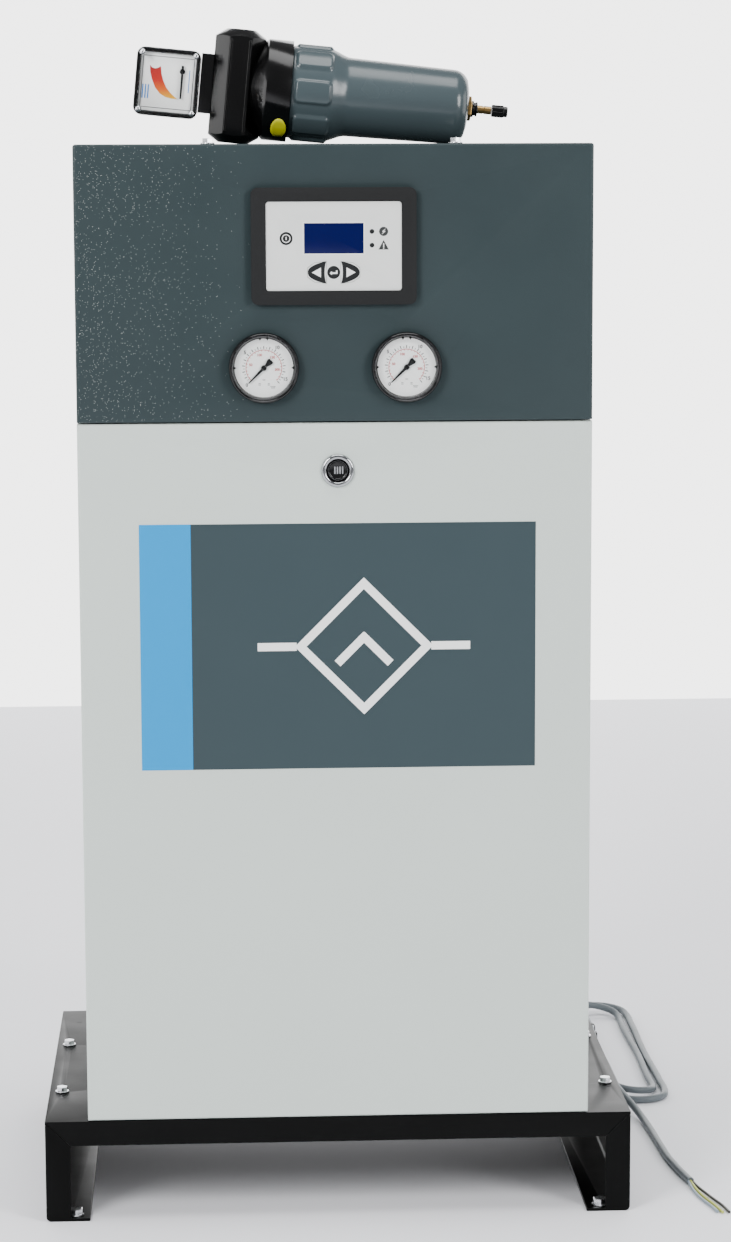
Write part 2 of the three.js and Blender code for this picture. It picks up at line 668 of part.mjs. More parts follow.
// ---------------------------------------------------------------- lock
// About the lock's own axis, with the panel's front face at y = 0.
function lockHousingGeometry() {
  const inner = LOCK_CORE_RADIUS + GAP;
  return turned([[inner, -LOCK_PROUD], [LOCK_RADIUS - LOCK_EDGE_WIDTH, -LOCK_PROUD],
    [LOCK_RADIUS, -LOCK_PROUD + LOCK_EDGE_DEPTH], [LOCK_RADIUS, -GAP], [LOCK_BODY_RADIUS, -GAP],
    [LOCK_BODY_RADIUS, LOCK_BODY_DEPTH], [inner, LOCK_BODY_DEPTH], [inner, -LOCK_PROUD]], 'y', FINE_SIDES);
}

function lockCoreGeometry() {
  const tongueY = LOCK_BODY_DEPTH + RUNNING_CLEARANCE;
  const core = rod(LOCK_CORE_RADIUS, -LOCK_PROUD + LOCK_CORE_RECESS, tongueY + TONGUE_THICKNESS, 'y');
  const tongue = slab(-TONGUE_WIDTH / 2, TONGUE_WIDTH / 2, tongueY, tongueY + TONGUE_THICKNESS,
    -TONGUE_WIDTH / 2, TONGUE_LENGTH);
  return join(core, tongue);
}

const lockPlace = [LOCK_X, FRONT_Y, LOCK_Z];
add('lock_housing', lockHousingGeometry(), MATERIALS.chrome, lockPlace);
add('lock_core', lockCoreGeometry(), MATERIALS.blackPlastic, lockPlace);

// ---------------------------------------------------------------- controller
const controller = new THREE.Group();
controller.position.set(CONTROLLER_X, FRONT_Y, CONTROLLER_Z);
group.add(controller);

const OVERLAY_FRONT = -BEZEL_PROUD + OVERLAY_RECESS;
const CASE_FACE = OVERLAY_FRONT + OVERLAY_THICKNESS + GAP;
const ARROW_KEYS = [['left', -1], ['right', 1]];
const ROUND_KEYS = [['start_key', START_KEY_X, DISPLAY_Z], ['enter_key', ENTER_KEY_X, KEY_ROW_Z]];

// An arrow key: flat towards the middle, pointed away from it.
function arrowShape(direction, growth) {
  const inner = -direction * (ARROW_KEY_WIDTH / 2 + growth);
  const waist = direction * ARROW_WAIST_X;
  const tip = direction * (ARROW_KEY_WIDTH / 2 + growth);
  const high = ARROW_KEY_HEIGHT / 2 + growth;
  const middle = high - ARROW_WAIST_DROP;
  const low = ARROW_TIP_HEIGHT / 2 + growth;
  const points = [[inner, -high], [waist, -middle], [tip, -low], [tip, low], [waist, middle], [inner, high]];
  return outline(direction < 0 ? points.reverse() : points);
}

function keyCutters(y0, y1) {
  const round = ROUND_KEYS.map(([, x, z]) => rod(ROUND_KEY_RADIUS + GAP, y0, y1, 'y').translate(x, 0, z));
  const arrows = ARROW_KEYS.map(([, direction]) => upright(arrowShape(direction, GAP), y0, y1)
    .translate(ENTER_KEY_X + direction * ARROW_KEY_X, 0, KEY_ROW_Z));
  return [...round, ...arrows];
}

function displayCutter(growth, y0, y1) {
  return upright(roundedShape(DISPLAY_WIDTH + 2 * growth, DISPLAY_HEIGHT + 2 * growth, DISPLAY_CORNER), y0, y1)
    .translate(0, 0, DISPLAY_Z);
}

// The case: a bezel in front of the hood, and a box behind it that is open at the back.
function controllerCaseGeometry() {
  const bezel = upright(roundedShape(CONTROLLER_WIDTH, CONTROLLER_HEIGHT, CONTROLLER_CORNER),
    -BEZEL_PROUD, -GAP, 5);
  const bodyWidth = CONTROLLER_WIDTH - 2 * CONTROLLER_RIM;
  const bodyHeight = CONTROLLER_HEIGHT - 2 * CONTROLLER_RIM;
  const body = upright(roundedShape(bodyWidth, bodyHeight, CONTROLLER_BODY_CORNER), -GAP - LAP,
    CONTROLLER_BODY_DEPTH);
  const hollow = upright(roundedShape(bodyWidth - 2 * CONTROLLER_WALL, bodyHeight - 2 * CONTROLLER_WALL,
    CONTROLLER_HOLLOW_CORNER), CASE_FACE + CONTROLLER_WALL, CONTROLLER_BODY_DEPTH + OVERCUT);
  const recess = upright(roundedShape(OVERLAY_WIDTH + 2 * GAP, OVERLAY_HEIGHT + 2 * GAP, OVERLAY_CORNER),
    -BEZEL_PROUD - OVERCUT, CASE_FACE);
  const seat = displayCutter(GAP, CASE_FACE - OVERCUT, CASE_FACE + DISPLAY_THICKNESS);
  return cut(join(bezel, body), hollow, recess, seat,
    ...keyCutters(CASE_FACE - OVERCUT, CASE_FACE + CONTROLLER_WALL + OVERCUT));
}

function overlayGeometry() {
  const plate = upright(roundedShape(OVERLAY_WIDTH, OVERLAY_HEIGHT, OVERLAY_CORNER), OVERLAY_FRONT,
    OVERLAY_FRONT + OVERLAY_THICKNESS);
  return cut(plate, displayCutter(GAP, OVERLAY_FRONT - OVERCUT, CASE_FACE + OVERCUT),
    ...keyCutters(OVERLAY_FRONT - OVERCUT, CASE_FACE + OVERCUT));
}

const keyFront = OVERLAY_FRONT - KEY_PROUD;
const boardFront = CASE_FACE + CONTROLLER_WALL + BOARD_ROOM;
add('controller_case', controllerCaseGeometry(), MATERIALS.blackPlastic, [0, 0, 0], controller);
add('keypad_overlay', overlayGeometry(), MATERIALS.keypad, [0, 0, 0], controller);
add('display_window', displayCutter(0, OVERLAY_FRONT, CASE_FACE + DISPLAY_THICKNESS - GAP), MATERIALS.display,
  [0, 0, 0], controller);
add('controller_board', slab(-OVERLAY_WIDTH / 2, OVERLAY_WIDTH / 2, boardFront, boardFront + BOARD_THICKNESS,
  -OVERLAY_HEIGHT / 2, OVERLAY_HEIGHT / 2), MATERIALS.board, [0, 0, 0], controller);
for (const [name, x, z] of ROUND_KEYS) {
  add(name, rod(ROUND_KEY_RADIUS, keyFront, keyFront + KEY_LENGTH, 'y'), MATERIALS.key, [x, 0, z], controller);
}
for (const [side, direction] of ARROW_KEYS) {
  add(`${side}_key`, upright(arrowShape(direction, 0), keyFront, keyFront + KEY_LENGTH), MATERIALS.key,
    [ENTER_KEY_X + direction * ARROW_KEY_X, 0, KEY_ROW_Z], controller);
}

// ---------------------------------------------------------------- pressure gauges
const DIAL_Y = -GAUGE_PROUD + GAUGE_BORE_DEPTH - GAP;
const GAUGE_POINTER_Y = DIAL_Y - DIAL_THICKNESS - POINTER_ABOVE_DIAL;
const REST_ANGLE = Math.PI * 1.25;

// A needle in the X-Z plane about its own pivot, pointing up before it is turned.
function needleGeometry(length, tail, y0, y1) {
  const [wide, narrow] = [POINTER_WIDTH / 2, POINTER_TIP_WIDTH / 2];
  const blade = upright(outline([[-wide, -tail], [wide, -tail], [narrow, length], [-narrow, length]]), y0, y1);
  return join(blade, rod(POINTER_HUB_RADIUS, y0, y1, 'y', SMALL_SIDES));
}

// The case: a bezel, a can behind the hood and a pressure connection.
function gaugeCaseGeometry() {
  const start = -GAP - LAP;
  const stubEnd = GAUGE_BODY_DEPTH + GAUGE_STUB_LENGTH;
  const can = turned([[0, start], [GAUGE_BODY_RADIUS, start], [GAUGE_BODY_RADIUS, GAUGE_BODY_DEPTH],
    [GAUGE_STUB_RADIUS, GAUGE_BODY_DEPTH], [GAUGE_STUB_RADIUS, stubEnd], [0, stubEnd]], 'y', FINE_SIDES);
  const bezel = turned([[0, -GAUGE_PROUD], [GAUGE_RADIUS - GAUGE_EDGE, -GAUGE_PROUD],
    [GAUGE_RADIUS, -GAUGE_PROUD + GAUGE_EDGE], [GAUGE_RADIUS, -GAP], [0, -GAP]], 'y', FINE_SIDES);
  const bore = rod(GAUGE_BORE_RADIUS + GAP, -GAUGE_PROUD - OVERCUT, -GAUGE_PROUD + GAUGE_BORE_DEPTH, 'y',
    FINE_SIDES);
  return cut(join(can, bezel), bore);
}

for (const [side, x] of [['left', -GAUGE_X], ['right', GAUGE_X]]) {
  const gauge = new THREE.Group();
  gauge.position.set(x, FRONT_Y, GAUGE_Z);
  group.add(gauge);
  add(`${side}_gauge_case`, gaugeCaseGeometry(), MATERIALS.darkCasting, [0, 0, 0], gauge);
  add(`${side}_gauge_dial`, rod(GAUGE_BORE_RADIUS, DIAL_Y - DIAL_THICKNESS, DIAL_Y, 'y', FINE_SIDES),
    MATERIALS.dial, [0, 0, 0], gauge);
  const pointer = add(`${side}_gauge_pointer`, needleGeometry(POINTER_LENGTH, POINTER_TAIL,
    GAUGE_POINTER_Y - POINTER_THICKNESS, GAUGE_POINTER_Y), MATERIALS.pointer, [0, 0, 0], gauge);
  pointer.rotation.y = REST_ANGLE;
  const lensY = -GAUGE_PROUD + LENS_RECESS;
  add(`${side}_gauge_lens`, rod(GAUGE_BORE_RADIUS, lensY, lensY + LENS_THICKNESS, 'y', FINE_SIDES),
    MATERIALS.glass, [0, 0, 0], gauge);
}

// ---------------------------------------------------------------- rear ports, pipes and towers
// A threaded bulkhead port: hexagon outside the rear panel and a shank through it.
function portGeometry() {
  const nut = rod(PORT_BODY_RADIUS, GAP, PORT_REACH, 'y', 6);
  const shank = rod(PORT_SHANK_RADIUS, -PORT_SHANK, GAP + LAP, 'y');
  return cut(join(nut, shank), rod(PORT_BORE_RADIUS, -PORT_SHANK - OVERCUT, PORT_REACH + OVERCUT, 'y'));
}

function manifoldGeometry(z, seatZ) {
  const x = MANIFOLD_WIDTH / 2;
  const c = MANIFOLD_CHAMFER;
  const y = MANIFOLD_DEPTH / 2;
  const shape = outline([[-x + c, -y], [x - c, -y], [x, -y + c], [x, y - c],
    [x - c, y], [-x + c, y], [-x, y - c], [-x, -y + c]]);
  const block = standing(shape, z, z + MANIFOLD_HEIGHT).translate(0, TOWER_Y, 0);
  const seats = [-1, 1].map((side) => rod(TOWER_RADIUS + GAP, seatZ, seatZ + TOWER_SEAT + OVERCUT, 'z')
    .translate(side * TOWER_SPACING / 2, TOWER_Y, 0));
  return cut(block, ...seats);
}

function valveGeometry() {
  const half = VALVE_BODY / 2;
  const body = slab(-half, half, -VALVE_BODY, 0, -half, half);
  const coil = rod(VALVE_RADIUS, half - LAP, half + VALVE_COIL_HEIGHT, 'z', FEW_SIDES).translate(0, -half, 0);
  return join(body, coil);
}

// A porous exhaust silencer standing beside the manifold on a short elbow.
function silencerGeometry(side) {
  const barrel = turned([[0, -SILENCER_DROP], [SILENCER_RADIUS - SILENCER_EDGE, -SILENCER_DROP],
    [SILENCER_RADIUS, SILENCER_EDGE - SILENCER_DROP], [SILENCER_RADIUS, SILENCER_RISE - SILENCER_CROWN],
    [SILENCER_RADIUS - SILENCER_CROWN, SILENCER_RISE], [0, SILENCER_RISE]], 'z', FEW_SIDES)
    .translate(side * SILENCER_OFFSET, 0, 0);
  const [from, to] = side > 0 ? [0, SILENCER_OFFSET] : [-SILENCER_OFFSET, 0];
  return join(barrel, rod(SILENCER_STUB_RADIUS, from, to, 'x', FEW_SIDES));
}

function inletPipeGeometry() {
  const top = rod(PIPE_RADIUS, INLET_PIPE_Y, BACK_Y - PORT_SHANK - GAP, 'y', FEW_SIDES)
    .translate(0, 0, PORT_Z);
  const drop = rod(PIPE_RADIUS, BOTTOM_PORT_Z, PORT_Z, 'z', FEW_SIDES).translate(0, INLET_PIPE_Y, 0);
  const foot = rod(PIPE_RADIUS, MANIFOLD_BACK_Y + GAP, INLET_PIPE_Y, 'y', FEW_SIDES)
    .translate(0, 0, BOTTOM_PORT_Z);
  const elbows = [PORT_Z, BOTTOM_PORT_Z].map((z) => new THREE.SphereGeometry(ELBOW_RADIUS, SMALL_SIDES, 8)
    .translate(0, INLET_PIPE_Y, z));
  return join(top, drop, foot, ...elbows);
}

for (const [name, x] of [['inlet_port', -PORT_X], ['outlet_port', PORT_X]]) {
  add(name, portGeometry(), MATERIALS.brass, [x, BACK_Y, PORT_Z]);
}
add('bottom_manifold', manifoldGeometry(PANEL_BOTTOM, MANIFOLD_TOP - TOWER_SEAT), MATERIALS.aluminium);
add('top_manifold', manifoldGeometry(TOP_MANIFOLD_Z, TOP_MANIFOLD_Z - OVERCUT), MATERIALS.aluminium);
add('inlet_pipe', inletPipeGeometry(), MATERIALS.copper, [-PORT_X, 0, 0]);
add('outlet_pipe', rod(PIPE_RADIUS, MANIFOLD_BACK_Y + GAP, BACK_Y - PORT_SHANK - GAP, 'y', FEW_SIDES),
  MATERIALS.copper, [PORT_X, 0, PORT_Z]);
for (const [side, sign] of [['left', -1], ['right', 1]]) {
  const x = sign * TOWER_SPACING / 2;
  add(`${side}_tower`, ring(TOWER_RADIUS, TOWER_RADIUS - TOWER_WALL, TOWER_BOTTOM,
    TOWER_BOTTOM + TOWER_HEIGHT, 'z'), MATERIALS.aluminium, [x, TOWER_Y, 0]);
  add(`${side}_valve`, valveGeometry(), MATERIALS.blackPlastic, [x, MANIFOLD_FRONT_Y - GAP, BOTTOM_PORT_Z]);
  add(`${side}_silencer`, silencerGeometry(sign), MATERIALS.silencer,
    [sign * (MANIFOLD_WIDTH / 2 + GAP), TOWER_Y, BOTTOM_PORT_Z]);
}

// ---------------------------------------------------------------- filter
// The filter lies on its head's lower end and on whichever of its shoulders meets the hood first,
// so its axis leans down to the right.
const SKIRT_END = HEAD_WIDTH / 2 + SKIRT_LENGTH;
const BOWL_START = SKIRT_END + GAP;
const GRIP_END = BOWL_START + GRIP_LENGTH;
const TAPER_END = GRIP_END + TAPER_LENGTH;
const BOWL_END = BOWL_START + BOWL_LENGTH;
const SHOULDERS = [[SKIRT_END, SKIRT_RADIUS], [GRIP_END, GRIP_RADIUS], [TAPER_END, BOWL_RADIUS],
  [BOWL_END - BOWL_NOSE, BOWL_END_RADIUS]];
const FILTER_TILT = Math.min(...SHOULDERS.map(([x, radius]) => Math.atan2(HEAD_HALF_LENGTH - radius,
  x - HEAD_END_RADIUS)));
const HEAD_CENTRE_HEIGHT = HEAD_END_RADIUS * Math.sin(FILTER_TILT) + HEAD_HALF_LENGTH * Math.cos(FILTER_TILT);

const filter = new THREE.Group();
filter.position.set(FILTER_HEAD_X, FRONT_Y + FILTER_BEHIND_FRONT, CABINET_TOP + HEAD_CENTRE_HEIGHT + GAP);
filter.rotation.y = FILTER_TILT;
group.add(filter);

function filterHeadGeometry() {
  const wide = HEAD_WIDTH / 2;
  const flat = HEAD_FLAT / 2;
  const octagon = outline([[-flat, -wide], [flat, -wide], [wide, -flat], [wide, flat],
    [flat, wide], [-flat, wide], [-wide, flat], [-wide, -flat]]);
  const shoulder = HEAD_HALF_LENGTH - HEAD_END_CHAMFER;
  const corner = wide + HEAD_CORNER_ROOM;
  const envelope = turned([[0, -HEAD_HALF_LENGTH], [HEAD_END_RADIUS, -HEAD_HALF_LENGTH], [corner, -shoulder],
    [corner, shoulder], [HEAD_END_RADIUS, HEAD_HALF_LENGTH], [0, HEAD_HALF_LENGTH]], 'z');
  const column = common(standing(octagon, -HEAD_HALF_LENGTH, HEAD_HALF_LENGTH), envelope);
  const skirt = turned([[0, HEAD_CONE_START], [HEAD_CONE_RADIUS, HEAD_CONE_START],
    [SKIRT_RADIUS - HEAD_CONE_STEP, wide], [SKIRT_RADIUS, wide + SKIRT_EDGE], [SKIRT_RADIUS, SKIRT_END],
    [0, SKIRT_END]], 'x', FINE_SIDES);
  const neck = slab(-wide - NECK_LENGTH, -wide + NECK_ROOT, -NECK_DEPTH / 2, NECK_DEPTH / 2,
    -NECK_HEIGHT / 2, NECK_HEIGHT / 2);
  const bore = rod(SKIRT_RADIUS - SKIRT_WALL, wide + SKIRT_FLOOR, SKIRT_END + OVERCUT, 'x', FINE_SIDES);
  const deep = HEAD_HALF_LENGTH - HEAD_PORT_DEPTH;
  const upperPort = rod(HEAD_PORT_RADIUS, deep, HEAD_HALF_LENGTH + OVERCUT, 'z');
  const lowerPort = rod(HEAD_PORT_RADIUS, -HEAD_HALF_LENGTH - OVERCUT, -deep, 'z');
  return cut(join(column, skirt, neck), bore, upperPort, lowerPort);
}

// The round nose of the bowl, outside or inside its wall, from the side to the drain hole.
function nosePoints(radius) {
  const centreRadius = BOWL_END_RADIUS - BOWL_NOSE;
  const points = [];
  for (let step = 0; step <= NOSE_STEPS; step += 1) {
    const angle = Math.PI / 2 * step / NOSE_STEPS;
    points.push([centreRadius + radius * Math.cos(angle), BOWL_END - BOWL_NOSE + radius * Math.sin(angle)]);
  }
  points.push([DRAIN_HOLE_RADIUS, BOWL_END - BOWL_NOSE + radius]);
  return points;
}

// The bowl: a threaded collar inside the skirt, the grip, a taper and the long body with its nose.
function bowlGeometry() {
  const collar = SKIRT_RADIUS - SKIRT_WALL - RUNNING_CLEARANCE;
  const mouth = HEAD_WIDTH / 2 + COLLAR_START;
  const outside = [[collar, mouth], [collar, BOWL_START], [GRIP_RADIUS - GRIP_EDGE_WIDTH, BOWL_START],
    [GRIP_RADIUS, BOWL_START + GRIP_EDGE_LENGTH], [GRIP_RADIUS, GRIP_END], [BOWL_RADIUS, TAPER_END],
    ...nosePoints(BOWL_NOSE)];
  const inside = [[collar - BOWL_WALL, mouth], [collar - BOWL_WALL, GRIP_END - BOWL_WALL],
    [BOWL_RADIUS - BOWL_WALL, TAPER_END], ...nosePoints(BOWL_NOSE - BOWL_WALL)];
  return turned([...outside, ...inside.reverse(), outside[0]], 'x', FINE_SIDES);
}

// The filter element: a cartridge with a hollow core that is closed at the bowl's end.
function elementGeometry() {
  const start = HEAD_WIDTH / 2 + SKIRT_FLOOR + GAP;
  const end = start + ELEMENT_LENGTH;
  const core = ELEMENT_CORE_RADIUS;
  return turned([[core, start], [ELEMENT_RADIUS, start], [ELEMENT_RADIUS, end], [0, end],
    [0, end - ELEMENT_CAP], [core, end - ELEMENT_CAP], [core, start]], 'x');
}

// The indicator's pieces are drawn about the middle of its front face.
function indicatorCaseGeometry() {
  const body = upright(roundedShape(INDICATOR_WIDTH, INDICATOR_HEIGHT, INDICATOR_CORNER), 0, INDICATOR_DEPTH);
  const recess = upright(roundedShape(INDICATOR_WIDTH - 2 * INDICATOR_RIM,
    INDICATOR_HEIGHT - 2 * INDICATOR_RIM, INDICATOR_RECESS_CORNER), -OVERCUT, INDICATOR_RECESS);
  return cut(body, recess);
}

function indicatorCoverGeometry() {
  const shell = upright(roundedShape(INDICATOR_WIDTH, INDICATOR_HEIGHT, INDICATOR_CORNER),
    -COVER_THICKNESS - GAP, -GAP);
  const pocket = upright(roundedShape(INDICATOR_WIDTH - 2 * COVER_RIM, INDICATOR_HEIGHT - 2 * COVER_RIM,
    COVER_POCKET_CORNER), -COVER_THICKNESS - GAP + COVER_WALL, OVERCUT);
  return cut(shell, pocket);
}

function drainValveGeometry() {
  const start = BOWL_END + GAP;
  const nutEnd = start + DRAIN_HEX_LENGTH + DRAIN_NUT_LENGTH;
  return join(rod(DRAIN_HOLE_RADIUS - GAP, BOWL_END - DRAIN_SHANK, start + LAP, 'x', FEW_SIDES),
    hexagon(DRAIN_HEX_FLATS, start, start + DRAIN_HEX_LENGTH, 'x'),
    rod(DRAIN_NUT_RADIUS, start + DRAIN_HEX_LENGTH - LAP, nutEnd, 'x', FEW_SIDES),
    rod(DRAIN_STEM_RADIUS, nutEnd - LAP, nutEnd + DRAIN_STEM_LENGTH, 'x', FEW_SIDES));
}

function drainKnobGeometry() {
  const start = BOWL_END + GAP + DRAIN_HEX_LENGTH + DRAIN_NUT_LENGTH + DRAIN_STEM_LENGTH + GAP;
  const end = start + KNOB_LENGTH;
  return turned([[0, start], [KNOB_RADIUS, start], [KNOB_RADIUS, end - KNOB_EDGE_LENGTH],
    [KNOB_RADIUS - KNOB_EDGE_WIDTH, end], [0, end]], 'x', FEW_SIDES);
}

add('filter_head', filterHeadGeometry(), MATERIALS.darkCasting, [0, 0, 0], filter);
add('filter_bowl', bowlGeometry(), MATERIALS.slate, [0, 0, 0], filter);
add('filter_element', elementGeometry(), MATERIALS.media, [0, 0, 0], filter);
add('drain_valve', drainValveGeometry(), MATERIALS.brass, [0, 0, 0], filter);
add('drain_knob', drainKnobGeometry(), MATERIALS.blackPlastic, [0, 0, 0], filter);

const indicator = new THREE.Group();
indicator.position.set(-HEAD_WIDTH / 2 - NECK_LENGTH - INDICATOR_WIDTH / 2 - GAP, -INDICATOR_DEPTH / 2,
  INDICATOR_DROP);
filter.add(indicator);
const dialInset = 2 * (INDICATOR_RIM + LAP);
const indicatorDial = roundedShape(INDICATOR_WIDTH - dialInset, INDICATOR_HEIGHT - dialInset,
  INDICATOR_DIAL_CORNER);
const indicatorDialY = INDICATOR_RECESS - GAP;
add('indicator_case', indicatorCaseGeometry(), MATERIALS.darkCasting, [0, 0, 0], indicator);
add('indicator_dial', upright(indicatorDial, indicatorDialY - DIAL_THICKNESS, indicatorDialY), MATERIALS.dial,
  [0, 0, 0], indicator);
add('indicator_cover', indicatorCoverGeometry(), MATERIALS.glass, [0, 0, 0], indicator);
const indicatorNeedle = needleGeometry(INDICATOR_POINTER_LENGTH, INDICATOR_POINTER_TAIL, INDICATOR_POINTER_Y,
  INDICATOR_POINTER_Y + POINTER_THICKNESS);
const indicatorPointer = add('indicator_pointer', indicatorNeedle, MATERIALS.pointer,
  [INDICATOR_PIVOT_X, 0, INDICATOR_PIVOT_Z], indicator);
indicatorPointer.rotation.y = Math.PI;

// ---------------------------------------------------------------- supply cord
// The gland in the rear panel, drawn about its own axis from the panel's outer face.
function glandGeometry() {
  const nut = hexagon(GLAND_FLATS, GAP, GLAND_NUT, 'y');
  const dome = turned([[0, GLAND_NUT - LAP], [GLAND_DOME_RADIUS, GLAND_NUT - LAP],
    [GLAND_DOME_RADIUS, GLAND_REACH - GLAND_TIP], [GLAND_TIP, GLAND_REACH], [0, GLAND_REACH]], 'y', FEW_SIDES);
  return join(rod(GLAND_SHANK_RADIUS, -GLAND_SHANK, GAP + LAP, 'y', FEW_SIDES), nut, dome);
}

function disc(radius, sides) {
  const points = [];
  for (let side = 0; side < sides; side += 1) {
    const angle = 2 * Math.PI * side / sides;
    points.push([radius * Math.cos(angle), radius * Math.sin(angle)]);
  }
  return outline(points);
}

// A round cord along a smooth line through chosen points.
function cordGeometry(points, diameter, sides, stepLength) {
  const stops = points.map((point) => new THREE.Vector3(...point));
  const path = new THREE.CatmullRomCurve3(stops, false, 'centripetal');
  const steps = Math.ceil(path.getLength() / stepLength);
  const tube = new THREE.ExtrudeGeometry(disc(diameter / 2, sides),
    { steps, bevelEnabled: false, extrudePath: path });
  return facingOut(tube);
}

// The hank: the outer shape of the stacked turns, a long outline with round ends.
function hankGeometry() {
  const half = HANK_HALF_WIDTH + CORD_DIAMETER / 2 + GAP;
  const shape = new THREE.Shape();
  shape.moveTo(HANK_X + half, HANK_NEAR_Y);
  shape.lineTo(HANK_X + half, HANK_FAR_Y);
  shape.absarc(HANK_X, HANK_FAR_Y, half, 0, Math.PI);
  shape.lineTo(HANK_X - half, HANK_NEAR_Y);
  shape.absarc(HANK_X, HANK_NEAR_Y, half, Math.PI, 2 * Math.PI);
  return standing(shape, GAP, CORD_FLOOR_Z + (HANK_LAYERS - 1) * LAYER_STEP + CORD_DIAMETER / 2 + GAP, 8);
}

// From the gland out of the back, down to the floor, round and up to the far end of the hank.
const LEAD_POINTS = [
  [200, 218.8, 150], [200, 228, 150], [200, 243, 148.5], [200.5, 260, 141], [202, 274, 127],
  [204, 283, 108], [207, 289, 86], [211, 296, 62], [216, 306, 39], [221, 322, 20], [226, 344, 9],
  [231, 370, 4.6], [236, 395, 4.4], [241, 424, 4.4], [246.5, 460, 4.4], [252, 494, 4.4], [256, 523, 4.4],
  [260.7, 540.5, 4.4], [273.5, 553.3, 4.4], [291, 558, 4.4], [308.5, 553.3, 4.4], [317.8, 545.5, 4.4],
  [321.9, 539.4, 4.4],
];
// From the near end of the hank down to the floor and along the right side towards the front.
const TAIL_POINTS = [
  [326.6, 164, 20.7], [328.6, 148, 19.4], [333, 131, 16.4], [338.6, 114, 12.2], [343.6, 96, 8], [347, 77, 5.3],
  [349, 56, 4.4], [350.3, 32, 4.4], [351.2, 8, 4.4], [352.5, -20, 4.4], [354, -50, 4.4], [357, -78, 4.4],
  [361, -106, 4.4], [366, -135, 4.4],
];
// The three stripped cores lie side by side beyond the end of the sheath.
const CORES_OUTLINE = [[362.3, -135.6], [369.4, -136.9], [376, -170], [389, -205], [394, -226], [387, -229],
  [378, -221], [368, -190], [364, -165]];

add('cable_gland', glandGeometry(), MATERIALS.blackPlastic, [GLAND_X, BACK_Y, GLAND_Z]);
add('supply_cord', cordGeometry(LEAD_POINTS, CORD_DIAMETER, CORD_SIDES, CORD_STEP), MATERIALS.sheath);
add('cord_hank', hankGeometry(), MATERIALS.sheath);
add('cord_tail', cordGeometry(TAIL_POINTS, CORD_DIAMETER, CORD_SIDES, CORD_STEP), MATERIALS.sheath);
add('stripped_cores', standing(outline(CORES_OUTLINE), GAP, GAP + CORE_DIAMETER), MATERIALS.key);

export default group;
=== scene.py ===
import json
import math

import bmesh
import bpy
from mathutils import Matrix, Vector

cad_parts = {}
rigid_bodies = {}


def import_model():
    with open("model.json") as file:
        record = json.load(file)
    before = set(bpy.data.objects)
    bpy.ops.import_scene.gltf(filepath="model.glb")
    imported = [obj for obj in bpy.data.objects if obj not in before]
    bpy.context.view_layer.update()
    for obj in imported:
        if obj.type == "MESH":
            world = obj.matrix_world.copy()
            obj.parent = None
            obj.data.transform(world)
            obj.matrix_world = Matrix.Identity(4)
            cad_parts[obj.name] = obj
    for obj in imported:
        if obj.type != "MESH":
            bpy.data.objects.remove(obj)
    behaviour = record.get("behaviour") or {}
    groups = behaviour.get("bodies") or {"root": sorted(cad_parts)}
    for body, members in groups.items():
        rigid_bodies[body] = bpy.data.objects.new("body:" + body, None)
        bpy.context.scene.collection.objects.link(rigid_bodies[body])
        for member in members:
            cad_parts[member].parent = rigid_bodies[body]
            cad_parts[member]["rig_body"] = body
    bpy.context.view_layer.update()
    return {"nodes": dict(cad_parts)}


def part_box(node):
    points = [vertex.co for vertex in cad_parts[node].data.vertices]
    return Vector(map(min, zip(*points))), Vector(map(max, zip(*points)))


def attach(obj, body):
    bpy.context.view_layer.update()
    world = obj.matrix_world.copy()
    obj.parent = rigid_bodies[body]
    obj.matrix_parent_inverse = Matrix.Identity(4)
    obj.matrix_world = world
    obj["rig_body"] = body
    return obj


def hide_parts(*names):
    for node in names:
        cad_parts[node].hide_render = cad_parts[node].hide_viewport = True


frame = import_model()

NODES = frame["nodes"]
MM = 0.001
FULL_TURN = 2 * math.pi
ORIGIN = Vector((0, 0, 0))
NO_TURN = Matrix.Identity(4)

# ---------------------------------------------------------------- places read from the frame
FRONT_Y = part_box("front_panel")[0].y
HOOD_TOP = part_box("hood")[1].z
DECK_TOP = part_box("base_deck")[1].z


def middle(node):
    low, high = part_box(node)
    return (low + high) / 2


def show(name, data):
    """A new object in the scene."""
    thing = bpy.data.objects.new(name, data)
    bpy.context.scene.collection.objects.link(thing)
    return thing


# ---------------------------------------------------------------- camera
CAMERA_X = -0.12603
CAMERA_IN_FRONT = 3.05897
CAMERA_HEIGHT = 1.03553
CAMERA_LENS = 91.76
CAMERA_FORWARD = Vector((0.04988, 0.98892, -0.13984))
CAMERA_UP = Vector((0.01074, 0.13948, 0.99017))
NEAREST_SEEN = 0.05
FARTHEST_SEEN = 60


def make_camera():
    data = bpy.data.cameras.new("camera")
    data.lens = CAMERA_LENS
    data.clip_start = NEAREST_SEEN
    data.clip_end = FARTHEST_SEEN
    camera = show("camera", data)
    back = -CAMERA_FORWARD.normalized()
    right = CAMERA_UP.cross(back).normalized()
    up = back.cross(right)
    turn = Matrix((right, up, back)).transposed().to_4x4()
    place = Vector((CAMERA_X, FRONT_Y - CAMERA_IN_FRONT, CAMERA_HEIGHT))
    camera.matrix_world = Matrix.Translation(place) @ turn
    bpy.context.scene.camera = camera


# ---------------------------------------------------------------- materials
GRAIN_DETAIL = 3.0
GRAIN_DEPTH = 0.0002
VARY_DETAIL = 4
VARY_LOW = 0.3
VARY_HIGH = 0.7
METAL_GRAIN = 900
METAL_GRAIN_DEPTH = 0.0001
METAL_COLOR_PATCH = 40
METAL_GLOSS_PATCH = 60
SMOOTHEST = 0.03
WINDOW_IOR = 1.2
WINDOW_TINT = (0.995, 1, 1, 1)
WHITE = (1, 1, 1, 1)


